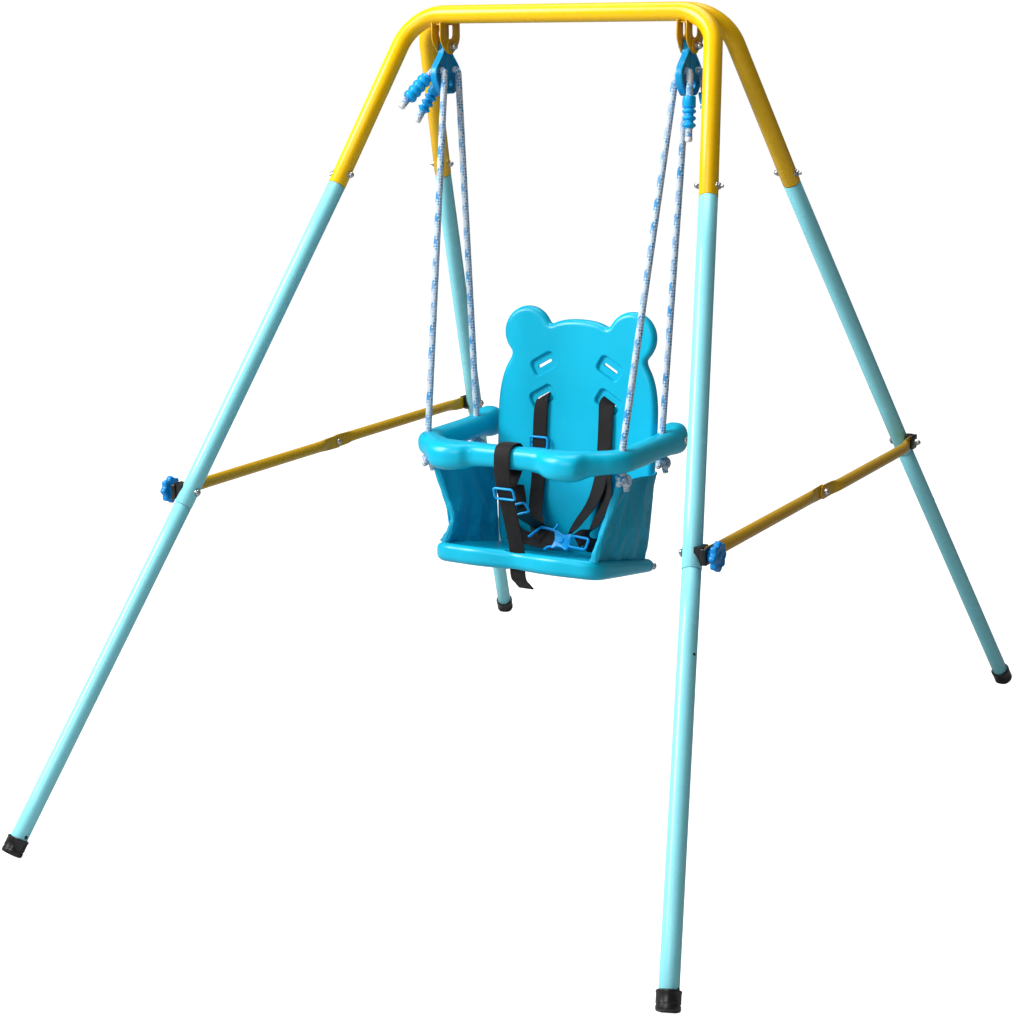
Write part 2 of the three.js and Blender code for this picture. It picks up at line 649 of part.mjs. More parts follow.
// ---- guard bar --------------------------------------------------------------------------------
// Plan of the bar: a U that closes at the front in two rounded lobes and ends beside the backrest
function guardBarOutline() {
  const right = new THREE.Path();
  const rearY = 72;
  right.moveTo(0, -203);
  right.lineTo(58, -203);
  right.quadraticCurveTo(66, -217, 97, -217);
  right.quadraticCurveTo(126, -217, 131, -190);
  right.quadraticCurveTo(136, -180, 152, -178);
  right.quadraticCurveTo(189, -172, 189, -134);
  right.lineTo(189, rearY - 16);
  right.quadraticCurveTo(189, rearY, 173, rearY);
  right.lineTo(147, rearY);
  right.lineTo(147, 36);
  right.quadraticCurveTo(153, 30, 153, 18);
  right.lineTo(153, -120);
  right.quadraticCurveTo(150, -160, 110, -166);
  right.lineTo(0, -167);
  return mirroredShape(right.getPoints(4));
}

function guardBar() {
  const bar = new THREE.ExtrudeGeometry(guardBarOutline(), {
    depth: BAR_HEIGHT - 2 * BAR_ROUNDING, bevelEnabled: true, bevelThickness: BAR_ROUNDING,
    bevelSize: BAR_ROUNDING, bevelOffset: -BAR_ROUNDING, bevelSegments: 2,
  }).translate(0, 0, BAR_Z - BAR_HEIGHT / 2 + BAR_ROUNDING);
  const ropeHole = rod(ROPE_RADIUS + 2 * GAP, -BAR_HEIGHT, BAR_HEIGHT, 12);
  const holes = [FRONT_ROPE, REAR_ROPE].flatMap(({ x, y }) =>
    Object.values(SIDES).map((side) => ropeHole.clone().translate(side * x, y, BAR_Z)));
  return cut(bar, ...holes);
}

// Front face of the backrest at a height, and upper face of the pan at a depth
const backFace = (z) => BACK_REFERENCE.y + BACK_LEAN * (z - BACK_REFERENCE.z);
const panTop = (y) => PAN_FRONT_TOP + PAN_SLOPE * (y - PAN_FRONT);

// ---- backrest ---------------------------------------------------------------------------------
// Outline in (x, height): two round ears over a body that widens to the middle and narrows to a lower tab
function backrestOutline() {
  const right = new THREE.Path();
  const ear = { x: 93.5, z: 704, radius: 42 };
  right.moveTo(0, 729);
  right.quadraticCurveTo(28, 729, 44, 722);
  right.quadraticCurveTo(52, 719, 56, 724);
  right.absarc(ear.x, ear.z, ear.radius, 2.6, -0.75, true);
  right.quadraticCurveTo(119, 668, 124, 660);
  right.bezierCurveTo(140, 640, 144, 610, 143, 566);
  right.bezierCurveTo(142.5, 500, 140, 440, 136, 385);
  right.lineTo(BACK_TAB_HALF, 380);
  right.lineTo(BACK_TAB_HALF, 325);
  return mirroredShape(right.getPoints(4));
}

// Slots for the shoulder straps: a pair on each side, leaning outwards
const SLOT = { x: 59.5, lowerZ: 602, pitch: 53, angle: 0.52, length: 28, height: 5 };

function slotTool(side, level) {
  const tool = new THREE.BoxGeometry(SLOT.length, 80, SLOT.height).rotateY(side * SLOT.angle);
  return tool.translate(side * SLOT.x, 40, SLOT.lowerZ + level * SLOT.pitch);
}

function backrest() {
  const bevel = 5;
  const panel = new THREE.ExtrudeGeometry(backrestOutline(), {
    depth: BACK_THICKNESS - 2 * bevel, bevelEnabled: true, bevelThickness: bevel, bevelSize: bevel,
    bevelOffset: -bevel, bevelSegments: 1,
  });
  // Drawn in (x, z), so the thickness runs from the rear face at y = thickness to the front face at y = 0
  panel.rotateX(Math.PI / 2).translate(0, BACK_THICKNESS - bevel, 0);
  const lean = new THREE.Matrix4().makeShear(0, 0, 0, 0, 0, BACK_LEAN);
  panel.translate(0, 0, -BACK_REFERENCE.z).applyMatrix4(lean);
  panel.translate(0, BACK_REFERENCE.y, BACK_REFERENCE.z);
  const slots = Object.values(SIDES).flatMap((side) => [0, 1].map((level) => slotTool(side, level)));
  return cut(panel, ...slots);
}

// ---- seat pan ---------------------------------------------------------------------------------
function panOutline() {
  const right = new THREE.Path();
  right.moveTo(0, PAN_FRONT + 6);
  right.bezierCurveTo(25, PAN_FRONT + 6, 40, PAN_FRONT - 4, 75, PAN_FRONT - 4);
  right.lineTo(112, PAN_FRONT);
  right.quadraticCurveTo(PAN_HALF_WIDTH, PAN_FRONT + 3, PAN_HALF_WIDTH, PAN_FRONT + 34);
  right.lineTo(PAN_HALF_WIDTH - 6, PAN_REAR - 14);
  right.quadraticCurveTo(PAN_HALF_WIDTH - 6, PAN_REAR, PAN_HALF_WIDTH - 22, PAN_REAR);
  right.lineTo(0, PAN_REAR);
  return mirroredShape(right.getPoints(4));
}

function seatPan() {
  const bevel = 8;
  const pan = new THREE.ExtrudeGeometry(panOutline(), {
    depth: PAN_THICKNESS - 2 * bevel, bevelEnabled: true, bevelThickness: bevel, bevelSize: bevel,
    bevelOffset: -bevel, bevelSegments: 2,
  }).translate(0, -PAN_FRONT, bevel - PAN_THICKNESS);
  const slope = new THREE.Matrix4().makeShear(0, 0, 0, PAN_SLOPE, 0, 0);
  pan.applyMatrix4(slope).translate(0, PAN_FRONT, PAN_FRONT_TOP);
  const tab = { half: BACK_TAB_HALF + 1, from: backFace(345) - 3, to: backFace(345) + BACK_THICKNESS + 3 };
  const tabSlot = box(V(-tab.half, tab.from, 250), V(tab.half, tab.to, 450));
  const strap = { half: CROTCH_STRAP_WIDTH / 2 + 2, from: -166, to: -154 };
  const strapSlot = box(V(-strap.half, strap.from, 250), V(strap.half, strap.to, 450));
  return cut(pan, tabSlot, strapSlot);
}

// ---- fabric sides -----------------------------------------------------------------------------
// Slanted panel with a sleeve along its front edge, from the guard bar's arm down to the pan's edge
function fabricSide(side) {
  const top = V(161, -132, 510);
  const foot = V(140, -146, 399);
  const lean = (top.x - foot.x) / (top.z - foot.z);
  const hemY = 10;
  const corners = [
    [top.y, top.z - 3], [foot.y, foot.z], [foot.y + 8, panTop(foot.y) + 3],
    [hemY, panTop(hemY) + 3], [backFace(490) - 3, 490], [-20, 510], [-100, 514],
  ];
  const outline = new THREE.Shape(corners.map(([y, z]) => new THREE.Vector2(y, z)));
  const panel = plateX(outline, -3, 3).translate(0, 0, -foot.z);
  panel.applyMatrix4(new THREE.Matrix4().makeShear(0, 0, 0, 0, lean, 0)).translate(foot.x, 0, foot.z);
  const sleeve = along(rod(8.5, 0, top.distanceTo(foot), 12), foot, top.clone().sub(foot));
  const geometry = join(panel, sleeve);
  return side > 0 ? geometry : mirrorX(geometry);
}

// ---- harness ----------------------------------------------------------------------------------
// Closed outline of a strap of even thickness along a run of (y, z) points
function strapOutline(run) {
  const half = STRAP_THICKNESS / 2;
  const offsetAt = (i) => {
    const before = run[Math.max(i - 1, 0)];
    const after = run[Math.min(i + 1, run.length - 1)];
    const length = Math.hypot(after[0] - before[0], after[1] - before[1]);
    return [(-(after[1] - before[1]) / length) * half, ((after[0] - before[0]) / length) * half];
  };
  const one = run.map(([y, z], i) => new THREE.Vector2(y + offsetAt(i)[0], z + offsetAt(i)[1]));
  const other = run.map(([y, z], i) => new THREE.Vector2(y - offsetAt(i)[0], z - offsetAt(i)[1]));
  return new THREE.Shape([...one, ...other.reverse()]);
}

// Crotch strap: up from a tail below the pan, around the front of the guard bar, and down behind it
function crotchStrap() {
  const half = CROTCH_STRAP_WIDTH / 2;
  const stand = BAR_HEIGHT / 2 + 2;
  const run = [
    [-138, 334], [-158, 352], [-160, 400], [-200, 510], [-206, 530], [-207, 554], [-203.5, 564],
    [-196, BAR_Z + stand], [-174, BAR_Z + stand], [-166, 564], [-163, 554], [-164, 530], [-176, 508],
  ];
  return plateX(strapOutline(run), -half, half);
}

// Shoulder strap: one loop that comes through both lower slots and runs down to the buckle
function shoulderStraps() {
  const half = SHOULDER_STRAP_WIDTH / 2;
  const inFront = backFace(SLOT.lowerZ) - 3;
  const behind = backFace(SLOT.lowerZ) + BACK_THICKNESS + 4;
  const run = [
    [inFront, SLOT.lowerZ + 5], [backFace(580) - 4, 580], [backFace(430) - 6, 430], [-6, 402],
    [-24, 392],
  ];
  const lean = (SLOT.x - 14) / (SLOT.lowerZ - 392);
  const bands = Object.values(SIDES).flatMap((side) => {
    const band = plateX(strapOutline(run), -half, half).translate(0, 0, -SLOT.lowerZ);
    band.applyMatrix4(new THREE.Matrix4().makeShear(0, 0, 0, 0, side * lean, 0));
    const throughSlot = box(V(-10, inFront, -STRAP_THICKNESS / 2), V(10, behind, STRAP_THICKNESS / 2));
    throughSlot.rotateY(side * SLOT.angle);
    return [band, throughSlot].map((solid) => solid.translate(side * SLOT.x, 0, SLOT.lowerZ));
  });
  const link = box(V(-SLOT.x, behind - 2, SLOT.lowerZ - 10), V(SLOT.x, behind + 0.4, SLOT.lowerZ + 10));
  return join(...bands, link);
}

function buckle() {
  const outline = new THREE.Shape();
  outline.moveTo(-24, -10);
  outline.lineTo(-12, -16);
  outline.lineTo(12, -16);
  outline.lineTo(24, -10);
  outline.lineTo(24, 10);
  outline.lineTo(12, 16);
  outline.lineTo(-12, 16);
  outline.lineTo(-24, 10);
  outline.closePath();
  return new THREE.ExtrudeGeometry(outline, {
    depth: 6, bevelEnabled: true, bevelThickness: 2, bevelSize: 2, bevelOffset: -2, bevelSegments: 1,
  });
}

function buildSeat() {
  add(swing, 'guard_bar', guardBar(), seatPlastic);
  add(swing, 'backrest', backrest(), seatPlastic);
  add(swing, 'seat_pan', seatPan(), seatPlastic);
  for (const [sideName, side] of Object.entries(SIDES)) {
    add(swing, `${sideName}_side_fabric`, fabricSide(side), sideFabric);
  }
  add(swing, 'crotch_strap', crotchStrap(), webbing);
  add(swing, 'shoulder_straps', shoulderStraps(), webbing);
  const clasp = add(swing, 'harness_buckle', buckle(), bluePlastic);
  clasp.position.set(0, -46, 384);
  clasp.rotation.x = Math.atan(PAN_SLOPE);
}

// ---- build ------------------------------------------------------------------------------------
buildHalfFrame(frontFrame, 'front', false);
buildHalfFrame(rearFrame, 'rear', true);
buildPivotBolts();
buildBraceFasteners();
buildBraces();
buildRopes();
buildSeat();

export default swingSet;
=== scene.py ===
"""Looks of a folding steel swing set with a toddler bucket seat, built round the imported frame.

Helpers work in metres. MM and V() turn millimetres into metres. Left pieces are at -X and right
pieces at +X, the front half of the frame stands on the -Y side and the child faces -Y.

The frame's joints give the pivot, the brace bolts, the knobs and the direction of the rope tails. The
other dimensions repeat those of the part, and have to be changed with it. The harness and the front
edges of the side panels are shaped after the photograph, on assumed upright planes.
"""

import json
import math
from contextlib import contextmanager

import bmesh
import bpy
from mathutils import Euler, Matrix, Quaternion, Vector, noise


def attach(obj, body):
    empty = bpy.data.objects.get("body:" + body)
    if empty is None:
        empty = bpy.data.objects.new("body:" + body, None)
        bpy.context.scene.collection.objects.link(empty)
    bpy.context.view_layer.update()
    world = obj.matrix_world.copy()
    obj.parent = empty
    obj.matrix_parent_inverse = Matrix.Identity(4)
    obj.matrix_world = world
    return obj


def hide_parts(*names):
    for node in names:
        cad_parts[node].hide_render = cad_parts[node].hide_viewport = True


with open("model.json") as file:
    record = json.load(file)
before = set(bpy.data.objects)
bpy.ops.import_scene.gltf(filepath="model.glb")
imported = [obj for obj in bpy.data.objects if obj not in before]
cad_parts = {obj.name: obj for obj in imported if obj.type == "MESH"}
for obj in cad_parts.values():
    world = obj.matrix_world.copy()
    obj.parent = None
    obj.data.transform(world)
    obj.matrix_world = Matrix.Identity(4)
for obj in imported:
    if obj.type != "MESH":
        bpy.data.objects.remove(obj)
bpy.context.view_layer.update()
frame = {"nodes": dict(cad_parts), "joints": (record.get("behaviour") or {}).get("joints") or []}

MM = 0.001
SIDES = {"left": -1, "right": 1}
ENDS = {"front": -1, "rear": 1}
JOINTS = {joint["name"]: joint for joint in frame["joints"]}

X = Vector((1, 0, 0))
Y = Vector((0, 1, 0))
Z = Vector((0, 0, 1))


def V(x, y, z):
    return Vector((x, y, z)) * MM


# ---- driving dimensions, in millimetres ----------------------------------------------------------
# Axis of the front right leg: crossbar corner, the two tube joints, and the end in the foot cap
LEG = [V(257.5, -15.4, 1207), V(315.5, -160.9, 948.4), V(421.4, -443.5, 481.8), V(529.9, -744.5, 6)]
BEND_RADIUS = 68
TUBE_RADIUS = 14
TUBE_WALL = 1.2
MIDDLE_LEG_RADIUS = 13.7
LOWER_LEG_RADIUS = 13.2
SCREW_ABOVE_JOINT = 18
CAP_RADIUS = 16
CAP_LENGTH = 26

PIVOT = Vector(JOINTS["swing_pivot"]["pos_m"])
HANGER_X = 211
LUG_PLATE = 2.2
LUG_INSIDE = {"front": 6.5, "rear": 9.0}
HANGER_THICKNESS = 11
HANGER_HOLE = 5.9

BRACE = Vector(JOINTS["right_front_brace_fold"]["pos_m"])
BRACE_TUBE_RADIUS = 9
BRACE_PLATE = 3
BRACE_FLAT = 40
FRONT_PLATE_INSIDE = 18.2
REAR_PLATE_INSIDE = 17.3
KNOB_RADIUS = 20.9
COVER = 3.6
BRACE_BOLT_RADIUS = 2.9
PIVOT_BOLT_RADIUS = 3.9

ROPE_RADIUS = 5.3
ROPE_HOLE = {"y": 20.5, "drop": 36}
ADJUSTER_LENGTH = 48
ADJUSTER_START = {"front_left": 14, "rear_left": 28, "front_right": 38, "rear_right": 32}
TAIL_BEYOND_ADJUSTER = 14
SEAT_ROPE = {"front": (171, -137), "rear": (168, 10)}

BAR_Z = 548
BACK_LEAN = 0.089
BACK_FACE_Y = 32
BACK_THICKNESS = 20
SLOT_X = 59.5
SLOT_Z = {"lower": 602, "upper": 655}
SLOT_TURN = math.radians(30)
PAN_SLOPE = -0.212
PAN_FRONT = -176
PAN_FRONT_TOP = 397
STRAP_THICKNESS = 2.2
BUCKLE = (16, -44)
CROTCH_X = 1


def back_face(z):
    return BACK_FACE_Y + BACK_LEAN * (z - BAR_Z)


def pan_top(y):
    return PAN_FRONT_TOP + PAN_SLOPE * (y - PAN_FRONT)


def at(point, side, end="front"):
    """Place on any leg, from the same place on the front right one."""
    return Vector((point.x * side, point.y * -ENDS[end], point.z))


def toward(start, end, distance):
    return start + (end - start).normalized() * distance * MM


# ---- mesh helpers --------------------------------------------------------------------------------
def linked(name, bm):
    """Object in the scene with the mesh that was built, which is then freed."""
    mesh = bpy.data.meshes.new(name)
    bm.to_mesh(mesh)
    bm.free()
    obj = bpy.data.objects.new(name, mesh)
    bpy.context.scene.collection.objects.link(obj)
    return obj


@contextmanager
def editing(obj):
    """The object's mesh, open for changes that are written back at the end."""
    bm = bmesh.new()
    bm.from_mesh(obj.data)
    yield bm
    bm.to_mesh(obj.data)
    bm.free()


def to_object(name, bm):
    bmesh.ops.recalc_face_normals(bm, faces=bm.faces)
    return linked(name, bm)


def loft(name, rings, closed=True, caps=True, loop=False):
    """Skin over rings of points. UV: metres along the rings' middles, and 0 to 1 round each ring."""
    bm = bmesh.new()
    uv_layer = bm.loops.layers.uv.new("UVMap")
    grid = [[bm.verts.new(point) for point in ring] for ring in rings]
    count = len(rings[0])
    columns = count if closed else count - 1
    middles = [sum(ring, Vector()) / count for ring in rings]
    along = [0.0]
    for before, after in zip(middles, middles[1:] + middles[:1]):
        along.append(along[-1] + (after - before).length)
    rows = len(rings) if loop else len(rings) - 1
    for i in range(rows):
        upper = (i + 1) % len(rings)
        for j in range(columns):
            k = (j + 1) % count
            face = bm.faces.new((grid[i][j], grid[i][k], grid[upper][k], grid[upper][j]))
            spots = ((i, j), (i, j + 1), (i + 1, j + 1), (i + 1, j))
            for corner, (row, column) in zip(face.loops, spots):
                corner[uv_layer].uv = (along[row], column / columns)
    if caps and closed and not loop:
        bm.faces.new(grid[0])
        bm.faces.new(grid[-1])
    return to_object(name, bm)


def smooth(obj, degrees=38):
    """Smooth shading, with edges sharper than the limit kept crisp."""
    limit = math.radians(degrees)
    with editing(obj) as bm:
        for face in bm.faces:
            face.smooth = True
        for edge in bm.edges:
            edge.smooth = len(edge.link_faces) != 2 or edge.calc_face_angle(0) < limit
    return obj


def apply_modifiers(obj):
    depsgraph = bpy.context.evaluated_depsgraph_get()
    mesh = bpy.data.meshes.new_from_object(obj.evaluated_get(depsgraph))
    obj.modifiers.clear()
    obj.data = mesh
    return obj


def bevel(obj, width, segments=2, degrees=40):
    modifier = obj.modifiers.new("bevel", "BEVEL")
    modifier.width = width * MM
    modifier.segments = segments
    modifier.limit_method = "ANGLE"
    modifier.angle_limit = math.radians(degrees)
    return apply_modifiers(obj)


def subdivide(obj, levels=1):
    modifier = obj.modifiers.new("subdivision", "SUBSURF")
    modifier.levels = levels
    modifier.render_levels = levels
    return apply_modifiers(obj)


def cut(obj, tools):
    """Subtracts each tool and deletes it."""
    for tool in tools:
        modifier = obj.modifiers.new("cut", "BOOLEAN")
        modifier.operation = "DIFFERENCE"
        modifier.solver = "EXACT"
        modifier.object = tool
        apply_modifiers(obj)
        bpy.data.objects.remove(tool)
    return obj


def join(name, objects):
    """One object from several."""
    bm = bmesh.new()
    for obj in objects:
        bm.from_mesh(obj.data)
        bpy.data.objects.remove(obj)
    return linked(name, bm)


def paint(obj, material):
    obj.data.materials.clear()
    obj.data.materials.append(material)
    return obj


def piece(obj, body, material, nodes=()):
    """Finishes a piece: its material, the body it rides on and the CAD nodes it stands for."""
    paint(obj, material)
    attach(obj, body)
    if nodes:
        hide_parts(*nodes)
    return obj


def turned(obj, matrix):
    obj.data.transform(matrix)
    return obj


def placing(origin, direction, roll=0.0):
    """Matrix that takes +Z to a direction and the origin to a place."""
    turn = Z.rotation_difference(direction.normalized())
    return Matrix.Translation(origin) @ turn.to_matrix().to_4x4() @ Matrix.Rotation(roll, 4, "Z")


# ---- curves and sections -------------------------------------------------------------------------
def bent_path(corners, radius, steps=8):
    """Straight runs joined by arcs of one radius, as a list of points."""
    points = [corners[0]]
    for before, corner, after in zip(corners, corners[1:], corners[2:]):
        into = (corner - before).normalized()
        out = (after - corner).normalized()
        angle = into.angle(out)
        if angle < 1e-3:
            points.append(corner)
            continue
        axis = into.cross(out).normalized()
        start = corner - into * radius * MM * math.tan(angle / 2)
        centre = start + axis.cross(into) * radius * MM
        for i in range(steps + 1):
            turn = Quaternion(axis, angle * i / steps)
            points.append(centre + turn @ (start - centre))
    points.append(corners[-1])
    return points


def smooth_path(points, steps=6):
    """Catmull-Rom curve through the points. Each point may be any tuple of vectors or numbers."""
    def blend(a, b, c, d, t):
        return 0.5 * (2 * b + (c - a) * t + (2 * a - 5 * b + 4 * c - d) * t ** 2
                      + (3 * b - a - 3 * c + d) * t ** 3)

    result = []
    last = len(points) - 1
    for i in range(last):
        around = [points[max(i - 1, 0)], points[i], points[i + 1], points[min(i + 2, last)]]
        for step in range(steps):
            values = zip(*around)
            result.append(tuple(blend(*quad, step / steps) for quad in values))
    result.append(tuple(points[-1]))
    return result


def tangents(points):
    result = []
    for i in range(len(points)):
        before = points[max(i - 1, 0)]
        after = points[min(i + 1, len(points) - 1)]
        result.append((after - before).normalized())
    return result


def round_ring(centre, across, up, radius, sides):
    return [centre + across * radius * math.cos(a) + up * radius * math.sin(a)
            for a in (2 * math.pi * i / sides for i in range(sides))]


def rounded_ring(centre, across, up, half_across, half_up, power=2.0, sides=24):
    """Superellipse: power 2 is an ellipse, and a higher power is squarer."""
    ring = []
    for i in range(sides):
        angle = 2 * math.pi * (i + 0.5) / sides
        c, s = math.cos(angle), math.sin(angle)
        x = half_across * math.copysign(abs(c) ** (2 / power), c)
        y = half_up * math.copysign(abs(s) ** (2 / power), s)
        ring.append(centre + across * x + up * y)
    return ring


def sweep(name, points, radii, sides=28, loop=False):
    """Round tube along points. radii is one radius or one for each point, in metres."""
    if not isinstance(radii, (list, tuple)):
        radii = [radii] * len(points)
    directions = tangents(points)
    if loop:
        directions = [(points[(i + 1) % len(points)] - points[i - 1]).normalized()
                      for i in range(len(points))]
    across = directions[0].orthogonal().normalized()
    rings = []
    for point, direction, radius in zip(points, directions, radii):
        across = (across - direction * across.dot(direction)).normalized()
        rings.append(round_ring(point, across, direction.cross(across), radius, sides))
    return loft(name, rings, loop=loop)


def lathe(name, profile, origin=Vector(), direction=Z, sides=32, lobes=None):
    """Turned solid from (radius, height) pairs in mm. lobes(angle) scales the radius."""
    rings = []
    for radius, height in profile:
        ring = []
        for i in range(sides):
            angle = 2 * math.pi * i / sides
            reach = max(radius, 0.01) * (lobes(angle, radius) if lobes else 1)
            ring.append(V(reach * math.cos(angle), reach * math.sin(angle), height))
        rings.append(ring)
    return turned(loft(name, rings), placing(origin, direction))


def prism(name, outline, low, high, edge=0.6):
    """Plate with an outline in (y, z), from x = low to x = high, with softened edges. In mm."""
    bm = bmesh.new()
    near = [bm.verts.new(V(low, y, z)) for y, z in outline]
    bm.faces.new(near)
    extruded = bmesh.ops.extrude_face_region(bm, geom=bm.faces[:])
    moved = [item for item in extruded["geom"] if isinstance(item, bmesh.types.BMVert)]
    bmesh.ops.translate(bm, verts=moved, vec=V(high - low, 0, 0))
    obj = to_object(name, bm)
    return bevel(obj, edge, 2, 30) if edge else obj


def arc(cx, cy, radius, start, end, count):
    """Points on an arc, with its angles in degrees."""
    return [(cx + radius * math.cos(a), cy + radius * math.sin(a))
            for a in (math.radians(start + (end - start) * i / (count - 1)) for i in range(count))]


def quarter_round(radius, steps):
    """(inset, drop) pairs round a quarter circle, from the flat face out to the side."""
    angles = [math.radians(90 * i / steps) for i in range(steps + 1)]
    return [(radius * (1 - math.sin(a)), radius * (1 - math.cos(a))) for a in angles]


def bezier(p0, p1, p2, p3, count):
    """Points on a cubic curve, without its first one."""
    points = []
    for i in range(1, count + 1):
        t = i / count
        weights = ((1 - t) ** 3, 3 * t * (1 - t) ** 2, 3 * t * t * (1 - t), t ** 3)
        points.append(tuple(sum(w * p[axis] for w, p in zip(weights, (p0, p1, p2, p3)))
                            for axis in (0, 1)))
    return points


# ---- materials -----------------------------------------------------------------------------------
class Shader:
    """A node material with a Principled surface, built up by small calls."""

    def __init__(self, name):
        self.material = bpy.data.materials.new(name)
        self.material.use_nodes = True
        self.tree = self.material.node_tree
        self.surface = self.tree.nodes["Principled BSDF"]
        self.coordinates = self.node("ShaderNodeTexCoord")

    def node(self, kind, **settings):
        made = self.tree.nodes.new(kind)
        for key, value in settings.items():
            setattr(made, key, value)
        return made

    def link(self, source, target):
        self.tree.links.new(source, target)

    def put(self, target, value):
        """Gives an input socket a number, a colour or another node's output."""
        if isinstance(value, bpy.types.NodeSocket):
            self.link(value, target)
        else:
            target.default_value = value

    def set(self, **values):
        for key, value in values.items():
            self.put(self.surface.inputs[key.replace("_", " ")], value)

    def math(self, operation, a, b=0.0):
        made = self.node("ShaderNodeMath", operation=operation)
        for socket, value in zip(made.inputs, (a, b)):
            self.put(socket, value)
        return made.outputs[0]

    def noise(self, scale, detail=3.0, roughness=0.5):
        made = self.node("ShaderNodeTexNoise")
        self.link(self.coordinates.outputs["Object"], made.inputs["Vector"])
        made.inputs["Scale"].default_value = scale
        made.inputs["Detail"].default_value = detail
        made.inputs["Roughness"].default_value = roughness
        return made.outputs["Fac"]

    def mapped(self, value, low, high, to_low, to_high):
        made = self.node("ShaderNodeMapRange")
        numbers = (value, low, high, to_low, to_high)
        names = ("Value", "From Min", "From Max", "To Min", "To Max")
        for name, number in zip(names, numbers):
            self.put(made.inputs[name], number)
        return made.outputs["Result"]

    def mix(self, factor, a, b):
        made = self.node("ShaderNodeMix", data_type="RGBA")
        self.put(made.inputs["Factor"], factor)
        self.put(made.inputs[6], a)
        self.put(made.inputs[7], b)
        return made.outputs[2]

    def bump(self, height, strength, distance):
        made = self.node("ShaderNodeBump")
        made.inputs["Strength"].default_value = strength
        made.inputs["Distance"].default_value = distance
        self.link(height, made.inputs["Height"])
        self.link(made.outputs["Normal"], self.surface.inputs["Normal"])

    def uv(self):
        """The two parts of the UV map: metres along the piece, and 0 to 1 across it."""
        parts = self.node("ShaderNodeSeparateXYZ")
        self.link(self.coordinates.outputs["UV"], parts.inputs[0])
        return parts.outputs["X"], parts.outputs["Y"]


def shade(colour, factor):
    return tuple(min(c * factor, 1.0) for c in colour[:3]) + (1.0,)


def powder_coat(name, colour):
    """Glossy powder coat: fine orange peel, faint dulled patches and small scuffs."""
    s = Shader(name)
    patches = s.mapped(s.noise(9, 4), 0.35, 0.7, 0.0, 1.0)
    scuffs = s.mapped(s.noise(240, 6, 0.7), 0.70, 0.80, 0.0, 0.10)
    coat = s.mix(patches, shade(colour, 0.96), shade(colour, 1.02))
    s.set(Base_Color=s.mix(scuffs, coat, shade(colour, 0.7)))
    s.set(Roughness=s.mapped(s.noise(30, 5), 0.3, 0.7, 0.22, 0.32), Specular_IOR_Level=0.38)
    s.bump(s.noise(900, 2), 0.05, 0.0003)
    return s.material


def moulded(name, colour, roughness, grain=1400, scatter=0.0):
    """Moulded plastic: fine mould grain, slow colour drift and rubbed patches."""
    s = Shader(name)
    drift = s.mapped(s.noise(7, 3), 0.3, 0.7, 0.0, 1.0)
    s.set(Base_Color=s.mix(drift, shade(colour, 0.94), shade(colour, 1.04)), Specular_IOR_Level=0.32)
    s.set(Roughness=s.mapped(s.noise(38, 6, 0.6), 0.3, 0.7, roughness - 0.02, roughness + 0.04))
    s.set(Subsurface_Weight=scatter, Subsurface_Radius=(0.004, 0.006, 0.008), Subsurface_Scale=0.3)
    s.bump(s.noise(grain, 3, 0.6), 0.10, 0.0003)
    return s.material


def rubber(name):
    s = Shader(name)
    dust = s.mapped(s.noise(45, 6, 0.6), 0.45, 0.85, 0.0, 0.4)
    s.set(Base_Color=s.mix(dust, (0.005, 0.005, 0.005, 1), (0.016, 0.015, 0.015, 1)))
    s.set(Roughness=s.mapped(s.noise(60), 0.3, 0.7, 0.26, 0.40))
    s.bump(s.noise(1100, 3), 0.15, 0.0003)
    return s.material


def zinc(name):
    s = Shader(name)
    bands = s.node("ShaderNodeTexNoise")
    stretched = s.node("ShaderNodeMapping")
    stretched.inputs["Scale"].default_value = (60, 60, 900)
    s.link(s.coordinates.outputs["Object"], stretched.inputs["Vector"])
    s.link(stretched.outputs["Vector"], bands.inputs["Vector"])
    tint = s.mapped(s.noise(50), 0.3, 0.7, 0.0, 1.0)
    s.set(Base_Color=s.mix(tint, (0.42, 0.43, 0.44, 1), (0.66, 0.66, 0.65, 1)), Metallic=1.0)
    s.set(Roughness=s.mapped(bands.outputs["Fac"], 0.3, 0.7, 0.18, 0.34))
    s.bump(s.noise(700, 2), 0.05, 0.0002)
    return s.material


def braid_steps(s, strands, pitch):
    """Positions along the two families of strands that wind round a rope, counted in strands."""
    length, around = s.uv()
    step = s.math("DIVIDE", length, pitch)
    wind = s.math("MULTIPLY", around, strands)
    return s.math("ADD", step, wind), s.math("SUBTRACT", step, wind)


